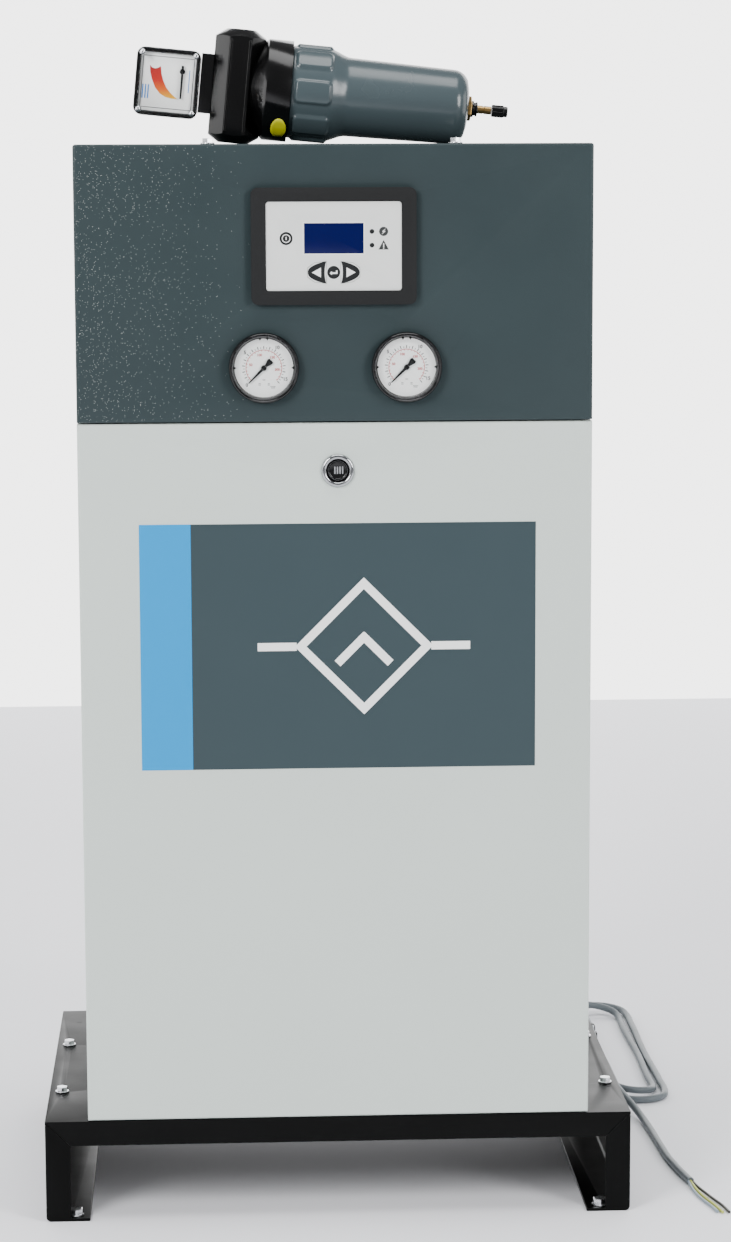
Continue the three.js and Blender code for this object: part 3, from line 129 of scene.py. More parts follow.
def new_material(name):
    material = bpy.data.materials.new(name)
    material.use_nodes = True
    return material, material.node_tree, material.node_tree.nodes["Principled BSDF"]


def add(tree, kind, **values):
    """A new node of a tree, with values for its sockets."""
    node = tree.nodes.new(kind)
    for socket, value in values.items():
        node.inputs[socket].default_value = value
    return node


def set_ramp(ramp, stops):
    """Gives a colour ramp its stops, each a position and a colour."""
    elements = ramp.color_ramp.elements
    for element, (position, color) in ((elements[0], stops[0]), (elements[1], stops[-1])):
        element.position = position
        element.color = color
    for position, color in stops[1:-1]:
        elements.new(position).color = color


def grain(tree, shader, scale, strength, depth):
    """A fine bump from noise in the object's own coordinates."""
    place = tree.nodes.new("ShaderNodeTexCoord")
    noise = add(tree, "ShaderNodeTexNoise", Scale=scale, Detail=GRAIN_DETAIL)
    bump = add(tree, "ShaderNodeBump", Strength=strength, Distance=depth)
    tree.links.new(place.outputs["Object"], noise.inputs["Vector"])
    tree.links.new(noise.outputs["Fac"], bump.inputs["Height"])
    tree.links.new(bump.outputs["Normal"], shader.inputs["Normal"])
    return place.outputs["Object"]


def vary(tree, place, socket, low, high, scale, stretch=None):
    """A value or colour that wanders between two limits with a large soft noise."""
    noise = add(tree, "ShaderNodeTexNoise", Scale=scale, Detail=VARY_DETAIL)
    if stretch:
        mapping = add(tree, "ShaderNodeMapping", Scale=stretch)
        tree.links.new(place, mapping.inputs["Vector"])
        place = mapping.outputs["Vector"]
    tree.links.new(place, noise.inputs["Vector"])
    ramp = tree.nodes.new("ShaderNodeValToRGB")
    set_ramp(ramp, [(VARY_LOW, low), (VARY_HIGH, high)])
    tree.links.new(noise.outputs["Fac"], ramp.inputs["Fac"])
    tree.links.new(ramp.outputs["Color"], socket)


def shade(color, factor):
    return tuple(min(1.0, channel * factor) for channel in color) + (1.0,)


def level(value):
    return (value, value, value, 1.0)


def coating(name, color, roughness, grain_scale, grain_strength, spread=0.03, patch=6.0, specular=0.5):
    """Paint or plastic: grained, with slightly uneven colour and gloss."""
    material, tree, shader = new_material(name)
    place = grain(tree, shader, grain_scale, grain_strength, GRAIN_DEPTH)
    low, high = shade(color, 1 - spread), shade(color, 1 + spread)
    vary(tree, place, shader.inputs["Base Color"], low, high, patch)
    vary(tree, place, shader.inputs["Roughness"], level(roughness - 0.04), level(roughness + 0.05), patch * 3)
    shader.inputs["Specular IOR Level"].default_value = specular
    return material


def metal(name, color, roughness, stretch=(1, 1, 1), grain_strength=0.05, spread=0.08):
    """Machined or plated metal with fine marks along one direction."""
    material, tree, shader = new_material(name)
    place = grain(tree, shader, METAL_GRAIN, grain_strength, METAL_GRAIN_DEPTH)
    low, high = shade(color, 1 - spread), shade(color, 1 + spread)
    vary(tree, place, shader.inputs["Base Color"], low, high, METAL_COLOR_PATCH, stretch)
    low, high = level(max(SMOOTHEST, roughness - 0.06)), level(roughness + 0.08)
    vary(tree, place, shader.inputs["Roughness"], low, high, METAL_GLOSS_PATCH, stretch)
    shader.inputs["Metallic"].default_value = 1.0
    return material


def clear(name):
    """A clear window: mostly see-through, with a reflection that grows towards its edge."""
    material, tree, shader = new_material(name)
    tree.nodes.remove(shader)
    see_through = add(tree, "ShaderNodeBsdfTransparent", Color=WINDOW_TINT)
    gloss = add(tree, "ShaderNodeBsdfGlossy", Roughness=SMOOTHEST, Color=WHITE)
    fresnel = add(tree, "ShaderNodeFresnel", IOR=WINDOW_IOR)
    join_shaders(tree, fresnel.outputs["Fac"], see_through, gloss, "Material Output")
    return material


def join_shaders(tree, share, first, second, output):
    """Mixes two shaders by a share and sends the result to the output."""
    mix = tree.nodes.new("ShaderNodeMixShader")
    tree.links.new(share, mix.inputs["Fac"])
    tree.links.new(first.outputs[0], mix.inputs[1])
    tree.links.new(second.outputs[0], mix.inputs[2])
    tree.links.new(mix.outputs["Shader"], tree.nodes[output].inputs["Surface"])


def calculate(tree, operation, first, second):
    """A sum of two inputs, where the second is a socket or a plain number."""
    node = tree.nodes.new("ShaderNodeMath")
    node.operation = operation
    tree.links.new(first, node.inputs[0])
    if isinstance(second, float):
        node.inputs[1].default_value = second
    else:
        tree.links.new(second, node.inputs[1])
    return node.outputs["Value"]


# Painted glints: pale specks in the hood's base colour, denser towards its left side, stand in for light catching the
# coat's grain.
GLINT_CELLS = 850
GLINT_RADIUS = 0.21
GLINT_CLUSTERS = 14
GLINT_SHARE = 0.5
GLINTS_END_X = -0.08
GLINTS_FULL_X = -0.24
GLINT_COLOR = (0.50, 0.52, 0.50, 1)


def speckled_coating(name, color, roughness, specular):
    """Powder coat with painted glints: scattered pale specks in its base colour, more of them towards its left side,
    standing in for light glancing off the grain.
    """
    material = coating(name, color, roughness, 700, 0.35, 0.05, specular=specular)
    tree = material.node_tree
    place = next(node for node in tree.nodes if node.type == "TEX_COORD").outputs["Object"]
    cells = add(tree, "ShaderNodeTexVoronoi", Scale=GLINT_CELLS, Randomness=1.0)
    chance = tree.nodes.new("ShaderNodeSeparateColor")
    clusters = add(tree, "ShaderNodeTexNoise", Scale=GLINT_CLUSTERS)
    side = tree.nodes.new("ShaderNodeSeparateXYZ")
    limits = {"From Min": GLINTS_END_X, "From Max": GLINTS_FULL_X, "To Max": GLINT_SHARE}
    glint_toward_left = add(tree, "ShaderNodeMapRange", **limits)
    for node in (cells, clusters, side):
        tree.links.new(place, node.inputs["Vector"])
    tree.links.new(cells.outputs["Color"], chance.inputs["Color"])
    tree.links.new(side.outputs["X"], glint_toward_left.inputs["Value"])
    near = calculate(tree, "LESS_THAN", cells.outputs["Distance"], GLINT_RADIUS)
    reach = calculate(tree, "MULTIPLY", glint_toward_left.outputs["Result"], clusters.outputs["Fac"])
    rare = calculate(tree, "LESS_THAN", chance.outputs["Red"], reach)
    mix = tree.nodes.new("ShaderNodeMix")
    mix.data_type = "RGBA"
    plain, pale = (socket for socket in mix.inputs if socket.type == "RGBA")
    base = tree.nodes["Principled BSDF"].inputs["Base Color"]
    # The pale colour mixed in here is a painted glint.
    tree.links.new(calculate(tree, "MULTIPLY", near, rare), mix.inputs["Factor"])
    tree.links.new(base.links[0].from_socket, plain)
    pale.default_value = GLINT_COLOR
    tree.links.new(next(socket for socket in mix.outputs if socket.type == "RGBA"), base)
    return material


def wedge_material():
    """Red at the top through orange to yellow at the point, along the piece's own height."""
    material, tree, shader = new_material("wedge_print")
    place = tree.nodes.new("ShaderNodeTexCoord")
    split = tree.nodes.new("ShaderNodeSeparateXYZ")
    ramp = tree.nodes.new("ShaderNodeValToRGB")
    set_ramp(ramp, [(0.0, (0.84, 0.46, 0.0, 1)), (0.28, (0.70, 0.11, 0.0, 1)), (0.55, (0.50, 0.008, 0.0, 1)),
                    (1.0, (0.34, 0.002, 0.002, 1))])
    tree.links.new(place.outputs["Generated"], split.inputs["Vector"])
    tree.links.new(split.outputs["Z"], ramp.inputs["Fac"])
    tree.links.new(ramp.outputs["Color"], shader.inputs["Base Color"])
    shader.inputs["Roughness"].default_value = 0.45
    return material


MATERIALS = {
    # The hood's coat carries painted glints in its colour.
    "hood": speckled_coating("hood_powder_coat", (0.021, 0.034, 0.037), 0.45, 0.26),
    "panel": coating("light_powder_coat", (0.570, 0.635, 0.595), 0.48, 600, 0.22, 0.012),
    "frame": coating("black_powder_coat", (0.0018, 0.0019, 0.0018), 0.40, 500, 0.25, 0.15, specular=0.08),
    "zinc": metal("bright_zinc", (0.72, 0.73, 0.75), 0.26),
    "gauge_bezel": metal("gauge_bezel", (0.055, 0.055, 0.058), 0.24, grain_strength=0.01, spread=0.03),
    "lock_chrome": metal("lock_chrome", (0.40, 0.41, 0.42), 0.13, grain_strength=0.01, spread=0.02),
    "brass": metal("brass", (0.42, 0.27, 0.10), 0.30, (1, 6, 6)),
    "aluminium": metal("aluminium", (0.66, 0.67, 0.69), 0.36, (8, 8, 1)),
    "steel_tube": metal("steel_tube", (0.55, 0.56, 0.58), 0.3, (6, 6, 1)),
    "bezel": coating("grained_black_plastic", (0.0105, 0.011, 0.0115), 0.62, 420, 0.9, 0.12, specular=0.18),
    "black_plastic": coating("black_plastic", (0.010, 0.010, 0.011), 0.42, 700, 0.2, 0.1, specular=0.3),
    "gloss_black": coating("gloss_black", (0.003, 0.003, 0.0033), 0.15, 500, 0.03, 0.1, specular=0.42),
    "casting": coating("black_casting", (0.0010, 0.0010, 0.0011), 0.16, 160, 0.16, 0.15, specular=0.38),
    "bowl": coating("slate_gloss_paint", (0.047, 0.066, 0.073), 0.24, 130, 0.10, 0.04),
    "keypad": coating("keypad_film", (0.70, 0.715, 0.695), 0.42, 1500, 0.12, 0.01),
    "keypad_border": coating("display_border_print", (0.80, 0.81, 0.80), 0.42, 1500, 0.1, 0.01),
    "key": coating("key_print", (0.012, 0.013, 0.0135), 0.45, 1500, 0.1, 0.08, specular=0.2),
    "key_grey": coating("key_grey_print", (0.022, 0.024, 0.024), 0.45, 1500, 0.1, 0.05),
    "key_symbol": coating("key_symbol_print", (0.86, 0.86, 0.85), 0.45, 1500, 0.1, 0.01),
    "display": coating("display_blue", (0.0008, 0.0020, 0.052), 0.16, 1500, 0.02, 0.06, specular=0.25),
    "dial": coating("dial_card", (0.98, 0.98, 0.965), 0.5, 1200, 0.08, 0.012),
    "dial_black": coating("dial_black_print", (0.006, 0.006, 0.0065), 0.5, 1200, 0.05, 0.05, specular=0.2),
    "dial_red": coating("dial_red_print", (0.50, 0.045, 0.04), 0.5, 1200, 0.05, 0.05),
    "dial_blue": coating("dial_blue_print", (0.03, 0.20, 0.58), 0.5, 1200, 0.05, 0.05),
    "wedge": wedge_material(),
    "clear": clear("clear_window"),
    "board": coating("circuit_board", (0.020, 0.115, 0.045), 0.35, 300, 0.3, 0.2),
    "media": coating("filter_media", (0.72, 0.70, 0.62), 0.9, 250, 0.9, 0.05),
    "silencer": coating("sintered_silencer", (0.55, 0.50, 0.38), 0.85, 600, 1.0, 0.08),
    "slate_label": coating("slate_label_film", (0.032, 0.051, 0.058), 0.45, 900, 0.05, 0.012, specular=0.22),
    "cyan_label": coating("cyan_label_film", (0.0, 0.27, 0.62), 0.5, 900, 0.05, 0.012, specular=0.03),
    "white_print": coating("white_print", (0.93, 0.94, 0.93), 0.38, 900, 0.05, 0.01),
    "sticker": coating("yellow_sticker", (0.60, 0.60, 0.0), 0.4, 900, 0.05),
    "sheath": coating("cable_sheath", (0.118, 0.136, 0.148), 0.42, 350, 0.25, 0.08, specular=0.3),
    "core_black": coating("core_black", (0.018, 0.016, 0.015), 0.4, 500, 0.1, 0.1),
    "core_blue": coating("core_blue", (0.22, 0.27, 0.32), 0.4, 500, 0.1, 0.1),
    "core_earth": coating("core_earth", (0.42, 0.45, 0.08), 0.4, 500, 0.1, 0.1),
    "tie": coating("cable_tie", (0.012, 0.012, 0.012), 0.4, 500, 0.1, 0.1),
    "floor": coating("stage_paper", (0.93, 0.93, 0.97), 0.8, 40, 0.02, 0.01, patch=1.0, specular=0.15),
}


# ---------------------------------------------------------------- mesh helpers
BEND_ANGLE = 32
SHARP_ANGLE = 35
FLAT_ANGLE = 0.5
WELD = 1e-5


def link(name, shape, material, body, place=ORIGIN, turn=NO_TURN, smooth=False):
    """The bmesh as a piece that rides on a body."""
    shape.transform(Matrix.Translation(place) @ turn)
    bmesh.ops.recalc_face_normals(shape, faces=shape.faces)
    mesh = bpy.data.meshes.new(name)
    shape.to_mesh(mesh)
    shape.free()
    mesh.materials.append(MATERIALS[material])
    piece = show(name, mesh)
    shade_smooth(piece, smooth)
    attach(piece, body)
    return piece


def shade_smooth(piece, smooth):
    for polygon in piece.data.polygons:
        polygon.use_smooth = smooth


def round_edges(piece, width, segments=3, angle=BEND_ANGLE):
    """Rounds a piece's sharp edges, of a width in millimetres, and shades the rest smooth."""
    bevel = piece.modifiers.new("round_edges", "BEVEL")
    bevel.width = width * MM
    bevel.segments = segments
    bevel.limit_method = "ANGLE"
    bevel.angle_limit = math.radians(angle)
    bevel.harden_normals = True
    shade_smooth(piece, True)


def rounded_copy(node, material, width, segments=3, angle=BEND_ANGLE):
    """The CAD node's own shape with its edges rounded, in place of the node."""
    shape = bmesh.new()
    shape.from_mesh(NODES[node].data)
    bmesh.ops.remove_doubles(shape, verts=shape.verts, dist=WELD)
    bmesh.ops.dissolve_limit(shape, angle_limit=math.radians(FLAT_ANGLE), verts=shape.verts, edges=shape.edges)
    piece = link(node + "_finish", shape, material, NODES[node]["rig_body"])
    round_edges(piece, width, segments, angle)
    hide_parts(node)


def ring(shape, radii, along):
    """Points round the Y axis at even angles, one for each radius, in millimetres."""
    points = []
    for i, radius in enumerate(radii):
        angle = FULL_TURN * i / len(radii)
        points.append(shape.verts.new((radius * MM * math.sin(angle), along * MM, radius * MM * math.cos(angle))))
    return points


def skin(shape, rings):
    """Faces between neighbouring rings. A ring of one point closes to a fan."""
    for first, second in zip(rings, rings[1:]):
        count = max(len(first), len(second))
        for i in range(count):
            j = (i + 1) % count
            corners = [first[i % len(first)], first[j % len(first)], second[j % len(second)], second[i % len(second)]]
            shape.faces.new(list(dict.fromkeys(corners)))


def tube(shape, rings):
    """A skin whose first and last rings are closed by flat faces."""
    skin(shape, rings)
    shape.faces.new(rings[0])
    shape.faces.new(rings[-1])


def lathe(name, profile, material, body, place, turn=NO_TURN, segments=64):
    """A solid of revolution. The profile's pairs are (radius, distance along +Y from place), in millimetres."""
    shape = bmesh.new()
    skin(shape, [ring(shape, [radius] * (segments if radius else 1), along) for radius, along in profile])
    piece = link(name, shape, material, body, place, turn, True)
    sharpen(piece)
    return piece


def sharpen(piece, angle=SHARP_ANGLE):
    """Smooth shading that keeps the edges sharper than the angle."""
    shape = bmesh.new()
    shape.from_mesh(piece.data)
    for edge in shape.edges:
        if len(edge.link_faces) == 2 and edge.calc_face_angle(0) > math.radians(angle):
            edge.smooth = False
    shape.to_mesh(piece.data)
    shape.free()


def prism(name, outlines, material, body, place, y0, y1, turn=NO_TURN, bevel=0.0):
    """Outlines in X and Z about place, each made into a solid from y0 to y1, all in millimetres."""
    shape = bmesh.new()
    for outline in outlines:
        tube(shape, [[shape.verts.new((x * MM, y * MM, z * MM)) for x, z in outline] for y in (y0, y1)])
    piece = link(name, shape, material, body, place, turn)
    if bevel:
        round_edges(piece, bevel)
    return piece


def box_outline(x0, z0, x1, z1):
    return [(x0, z0), (x1, z0), (x1, z1), (x0, z1)]


def rectangle(width, height, radius=0.0, x=0.0, z=0.0, steps=6):
    """A rectangle about (x, z), with round corners when it has a radius."""
    if radius <= 0:
        return box_outline(x - width / 2, z - height / 2, x + width / 2, z + height / 2)
    points = []
    for side_x, side_z, start in ((1, -1, -90), (1, 1, 0), (-1, 1, 90), (-1, -1, 180)):
        for step in range(steps + 1):
            angle = math.radians(start + 90 * step / steps)
            points.append((x + side_x * (width / 2 - radius) + radius * math.cos(angle),
                           z + side_z * (height / 2 - radius) + radius * math.sin(angle)))
    return points


def circle(radius, x=0.0, z=0.0, steps=32):
    turns = [FULL_TURN * i / steps for i in range(steps)]
    return [(x + radius * math.cos(turn), z + radius * math.sin(turn)) for turn in turns]


def bar(x0, z0, x1, z1, width):
    """A straight stroke between two points."""
    along = Vector((x1 - x0, z1 - z0)).normalized() * width / 2
    return [(x0 - along.y, z0 + along.x), (x0 + along.y, z0 - along.x), (x1 + along.y, z1 - along.x),
            (x1 - along.y, z1 + along.x)]


def at_angle(radius, angle):
    """A point at an angle in degrees, clockwise from the top, as on a dial."""
    return radius * math.sin(math.radians(angle)), radius * math.cos(math.radians(angle))


def arc_band(radius, width, start, end, x=0.0, z=0.0, steps=48):
    """A band along an arc, with angles as on a dial."""
    sides = []
    for edge in (radius + width / 2, radius - width / 2):
        turned = [at_angle(edge, start + (end - start) * step / steps) for step in range(steps + 1)]
        sides.append([(x + across, z + up) for across, up in turned])
    return sides[0] + sides[1][::-1]


# ---------------------------------------------------------------- supply cord
CORD_DIAMETER = 8 * MM
CORD_ROUNDNESS = 5
CORD_STEPS = 8
HANK_FAR_Y = 520
HANK_RUN_POINTS = 8
HANK_BEND_POINTS = 6
HANK_WAVE = 1.4
HANK_WAVE_SHIFT = 1.7
# Each run of the hank: where it lies, the y it leaves and the y it reaches, and its height above the floor.
HANK_RUNS = [(326, 520, 187, 4.4), (386, 187, 520, 4.4), (327, 520, 205, 12.6), (375, 205, 508, 4.4),
             (326.5, 508, 187, 20.8)]
LEAD_POINTS = [
    (200, 218.8, 150), (200, 228, 150), (200, 243, 148.5), (200.5, 260, 141), (202, 274, 127), (204, 283, 108),
    (207, 289, 86), (211, 296, 62), (216, 306, 39), (221, 322, 20), (226, 344, 9), (231, 370, 4.6),
    (236, 395, 4.4), (241, 424, 4.4), (246.5, 460, 4.4), (252, 494, 4.4), (256, 523, 4.4), (260.7, 540.5, 4.4),
    (273.5, 553.3, 4.4), (291, 558, 4.4), (308.5, 553.3, 4.4), (317.8, 545.5, 4.4), (321.9, 539.4, 4.4),
]
TAIL_POINTS = [
    (326.6, 164, 20.7), (328.6, 148, 19.4), (333, 131, 16.4), (338.6, 114, 12.2), (343.6, 96, 8), (347, 77, 5.3),
    (349, 56, 4.4), (350.3, 32, 4.4), (351.2, 8, 4.4), (352.5, -20, 4.4), (354, -50, 4.4), (357, -78, 4.4),
    (361, -106, 4.4), (366, -135, 4.4),
]
CORE_DIAMETER = 3 * MM
CORES = {
    "core_black": [(368, -135, 4.4), (371, -150, 3.4), (376.5, -168, 2.4), (382, -187, 2), (387.5, -207, 2),
                   (391, -228, 2)],
    "core_earth": [(366, -135, 4.4), (368, -152, 3.2), (371.5, -171, 2.2), (376, -190, 2), (381, -209, 2),
                   (384.5, -228, 2)],
    "core_blue": [(364, -135, 4.4), (365, -154, 3), (367.5, -173, 2), (371.5, -192, 2), (376, -209, 2),
                  (379.5, -226, 2)],
}


def hank_points():
    """The hank's line: runs up and down its length, each joined to the next by a half-round bend."""
    points = []
    for index, (x, start, end, z) in enumerate(HANK_RUNS):
        for step in range(HANK_RUN_POINTS + 1):
            share = step / HANK_RUN_POINTS
            turn = FULL_TURN * share + HANK_WAVE_SHIFT * index
            wave = HANK_WAVE * math.sin(math.pi * share) * math.sin(turn)
            points.append((x + wave, start + (end - start) * share, z))
        if index + 1 < len(HANK_RUNS):
            points += bend_points(points[-1], HANK_RUNS[index + 1])
    return points


def bend_points(last, run):
    """The half-round bend from the end of one run to the start of the next."""
    x, y, z = last
    next_x, next_y, _, next_z = run
    middle_x, radius = (x + next_x) / 2, (next_x - x) / 2
    outward = 1 if y > HANK_FAR_Y / 2 else -1
    points = []
    for step in range(1, HANK_BEND_POINTS):
        share = step / HANK_BEND_POINTS
        angle = math.pi * share
        bulge = outward * abs(radius) * math.sin(angle)
        points.append((middle_x - radius * math.cos(angle), y + (next_y - y) * share + bulge, z + (next_z - z) * share))
    return points


def cord_curve(name, points, diameter, material):
    data = bpy.data.curves.new(name, "CURVE")
    data.dimensions = "3D"
    data.bevel_depth = diameter / 2
    data.bevel_resolution = CORD_ROUNDNESS
    data.resolution_u = CORD_STEPS
    data.use_fill_caps = True
    spline = data.splines.new("BEZIER")
    spline.bezier_points.add(len(points) - 1)
    for knot, point in zip(spline.bezier_points, points):
        knot.co = Vector(point) * MM
        knot.handle_left_type = "AUTO"
        knot.handle_right_type = "AUTO"
    data.materials.append(MATERIALS[material])
    piece = show(name, data)
    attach(piece, "cabinet")
    return piece


def make_cords():
    points = LEAD_POINTS + hank_points() + TAIL_POINTS
    cord = cord_curve("supply_cord_run", points, CORD_DIAMETER, "sheath")
    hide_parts("supply_cord", "cord_hank", "cord_tail")
    tie = make_tie()
    for name, route in CORES.items():
        core = cord_curve(name, route, CORE_DIAMETER, name)
        if name == "core_earth":
            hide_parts("stripped_cores")


TIE_Y = 402
TIE_THICKNESS = 0.9
TIE_WIDTH = 4.5
TIE_LEFT = 320.9
TIE_RIGHT = 332.1
TIE_TOP = 25.2
TIE_BOTTOM = 0.15
TIE_CORNER = 4
TIE_INNER_CORNER = 3.2
TIE_HEAD_HEIGHT = 12


def make_tie():
    """A black tie round the strands on the hank's left, with the head that locks it."""
    high = TIE_TOP + TIE_THICKNESS
    width = TIE_RIGHT - TIE_LEFT + 2 * TIE_THICKNESS
    tall, middle_z = high - TIE_BOTTOM, (TIE_BOTTOM + high) / 2
    centre_x = (TIE_LEFT + TIE_RIGHT) / 2
    outer = rectangle(width, tall, TIE_CORNER, 0, middle_z)
    inner = rectangle(width - 2 * TIE_THICKNESS, tall - 2 * TIE_THICKNESS, TIE_INNER_CORNER, 0, middle_z)
    front, back = -TIE_WIDTH / 2, TIE_WIDTH / 2
    shape = bmesh.new()
    loops = []
    for line, y in ((outer, front), (outer, back), (inner, back), (inner, front)):
        loops.append([shape.verts.new((x * MM, y * MM, z * MM)) for x, z in line])
    skin(shape, loops + loops[:1])
    piece = link("cord_tie", shape, "tie", "cabinet", Vector((centre_x, TIE_Y, 0)) * MM)
    place = Vector((centre_x + width / 2, TIE_Y, TIE_HEAD_HEIGHT)) * MM
    head = prism("cord_tie_head", [rectangle(5, 7, 1)], "tie", "cabinet", place, -3, 3)
    head.parent = piece
    head.matrix_parent_inverse = NO_TURN
    return piece


# ---------------------------------------------------------------- CAD pieces that keep their own shape
PAINTED = {
    "frame": ["keeper_rail"],
    "board": ["controller_board"],
    "aluminium": ["left_tower", "right_tower"],
    "steel_tube": ["inlet_pipe", "outlet_pipe"],
    "silencer": ["left_silencer", "right_silencer"],
    "media": ["filter_element"],
}
# Nodes whose own shape only gets rounded edges: the material, the slot, the rounding and the nodes.
ROUNDED = [
    ("frame", "frame_paint", 1.2, ["base_deck", "left_skid", "right_skid"]),
    ("panel", "panel_paint", 0.5, ["left_side_panel", "right_side_panel"]),
    ("panel", "panel_paint", 0.4, ["rear_panel"]),
    ("zinc", "zinc", 0.4, [f"deck_bolt_{number}" for number in range(1, 5)] + ["hood_bolt_left", "hood_bolt_right"]),
    ("brass", "brass", 0.7, ["inlet_port", "outlet_port"]),
    ("aluminium", "aluminium", 1.2, ["bottom_manifold", "top_manifold"]),
    ("black_plastic", "black_plastic", 1.0, ["left_valve", "right_valve"]),
    ("black_plastic", "black_plastic", 0.6, ["cable_gland"]),
    ("casting", "casting", 1.6, ["indicator_case"]),
    ("casting", "casting", 1.1, ["filter_head"]),
]


def dress_cad_pieces():
    for material, names in PAINTED.items():
        for node in names:
            mesh = NODES[node].data
            mesh.materials.clear()
            mesh.materials.append(MATERIALS[material])
    for material, slot, width, names in ROUNDED:
        for node in names:
            rounded_copy(node, material, width)


COVER_BEND = 0.5
COVER_ANGLE = 20


def make_covers():
    rounded_copy("hood", "hood", COVER_BEND, 3, COVER_ANGLE)
    rounded_copy("front_panel", "panel", COVER_BEND, 3, COVER_ANGLE)


# ---------------------------------------------------------------- print and lettering
PRINT = 0.12
PRINT_ROOT = 0.05
FIGURE_WEIGHT = 0.12
UPRIGHT = Matrix.Rotation(math.radians(90), 4, "X")


def printed(name, outlines, material, body, place, layer=1, turn=NO_TURN):
    """Thin shapes on a surface that faces the front. Outlines are in millimetres about place."""
    return prism(name, outlines, material, body, place, -PRINT * layer, PRINT_ROOT, turn)


def numerals(name, entries, material, body, place):
    """Upright figures about place: each entry is (text, height, x, z) in millimetres."""
    shape = bmesh.new()
    for text, height, x, z in entries:
        data = bpy.data.curves.new(name, "FONT")
        data.body = text
        data.size = height * MM
        data.align_x = "CENTER"
        data.align_y = "CENTER"
        data.extrude = (PRINT + PRINT_ROOT) / 2 * MM
        data.offset = FIGURE_WEIGHT * MM
        figure = show(name, data)
        bpy.context.view_layer.update()
        mesh = bpy.data.meshes.new_from_object(figure.evaluated_get(bpy.context.evaluated_depsgraph_get()))
        mesh.transform(Matrix.Translation(Vector((x, (PRINT_ROOT - PRINT) / 2, z)) * MM) @ UPRIGHT)
        shape.from_mesh(mesh)
        bpy.data.objects.remove(figure)
    link(name, shape, material, body, place)


# ---------------------------------------------------------------- nameplate
LABEL_LEFT = -191.5
LABEL_RIGHT = 195.0
LABEL_LOW = 457.3
LABEL_HIGH = 699.3
LABEL_STRIP = 50.0
SIGN_HALF = 62.0
SIGN_STROKE = 8.0
SIGN_LEAD = 42.0
SIGN_LEAD_GAP = 4
CHEVRON_HALF = 26
CHEVRON_LOW = -17
CHEVRON_HIGH = 11.4
CHEVRON_OVERLAP = 2.4


def make_nameplate():
    """A two-colour film with the drawing sign for a dryer: a diamond with a line in, a line out and a chevron."""
    height = LABEL_HIGH - LABEL_LOW
    place = Vector((0, FRONT_Y, (LABEL_LOW + LABEL_HIGH) / 2 * MM))
    split = LABEL_LEFT + LABEL_STRIP
    strip = rectangle(LABEL_STRIP, height, 0, LABEL_LEFT + LABEL_STRIP / 2, 0)
    field = rectangle(LABEL_RIGHT - split, height, 0, (split + LABEL_RIGHT) / 2, 0)
    printed("label_strip", [strip], "cyan_label", "front_panel", place, 2)
    printed("label_field", [field], "slate_label", "front_panel", place, 2)
    x = (split + LABEL_RIGHT) / 2
    corners = [(x - SIGN_HALF, 0), (x, SIGN_HALF), (x + SIGN_HALF, 0), (x, -SIGN_HALF)]
    strokes = []
    for start, end in zip(corners, corners[1:] + corners[:1]):
        reach = Vector((end[0] - start[0], end[1] - start[1])).normalized() * SIGN_STROKE * 0.5
        strokes.append(bar(start[0] - reach.x, start[1] - reach.y, end[0] + reach.x, end[1] + reach.y, SIGN_STROKE))
    near, far = SIGN_HALF + SIGN_LEAD_GAP, SIGN_HALF + SIGN_LEAD
    strokes.append(bar(x - far, 0, x - near, 0, SIGN_STROKE))
    strokes.append(bar(x + near, 0, x + far, 0, SIGN_STROKE))
    strokes.append(bar(x - CHEVRON_HALF, CHEVRON_LOW, x + CHEVRON_OVERLAP, CHEVRON_HIGH, SIGN_STROKE))
    strokes.append(bar(x - CHEVRON_OVERLAP, CHEVRON_HIGH, x + CHEVRON_HALF, CHEVRON_LOW, SIGN_STROKE))
    for index, stroke in enumerate(strokes):
        printed(f"label_sign_{index + 1}", [stroke], "white_print", "front_panel", place,
                3 + 0.1 * index)


# ---------------------------------------------------------------- controller
CASE = middle("controller_case")
KEYPAD_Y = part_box("keypad_overlay")[0].y
KEY_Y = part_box("start_key")[0].y
LAMP_X = 36.6
LAMP_Z = (13.9, 0.8)
LAMP_RADIUS = 2.3
ICON_X = 47.8
ICON_RADIUS = 4.4
DISPLAY_BORDER = 1.4
BOLT = [(2.2, 3.0), (-1.6, -0.2), (0.1, -0.2), (-2.0, -3.2), (1.9, 0.4), (0.2, 0.4)]
WARNING = [(-5, -4.2), (5, -4.2), (0, 5)]


def make_controller():
    rounded_copy("controller_case", "bezel", 1.3, 4)
    rounded_copy("keypad_overlay", "keypad", 0.2, 2)
    rounded_copy("display_window", "display", 0.15, 2)
    place = Vector((CASE.x, KEYPAD_Y, CASE.z))
    low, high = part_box("display_window")
    wide, tall = (high.x - low.x) / MM, (high.z - low.z) / MM
    z = ((low.z + high.z) / 2 - CASE.z) / MM
    edge = DISPLAY_BORDER
    border = [rectangle(wide + 2 * edge, edge, 0, 0, z + side * (tall + edge) / 2) for side in (-1, 1)]
    border += [rectangle(edge, tall, 0, side * (wide + edge) / 2, z) for side in (-1, 1)]
    printed("display_border", border, "keypad_border", "cabinet", place)
    power_z, warning_z = LAMP_Z
    lamps = [circle(LAMP_RADIUS, LAMP_X, z) for z in LAMP_Z]
    bolt = [(ICON_X + x, power_z + z) for x, z in BOLT]
    warning = [(ICON_X + x, warning_z + z) for x, z in WARNING]
    mark = [rectangle(0.9, 4.2, 0.2, ICON_X, warning_z - 0.2), rectangle(0.9, 1.0, 0.2, ICON_X, warning_z - 3.1)]
    for name, outlines, material, layer in (
            ("status_lamps", lamps, "key", 1),
            ("power_icon", [circle(ICON_RADIUS, ICON_X, power_z)], "key_grey", 1),
            ("power_icon_bolt", [bolt], "key_symbol", 2),
            ("warning_icon", [warning], "key_grey", 1),
            ("warning_icon_mark", mark, "key_symbol", 2)):
        printed(name, outlines, material, "cabinet", place, layer)
    make_keys()


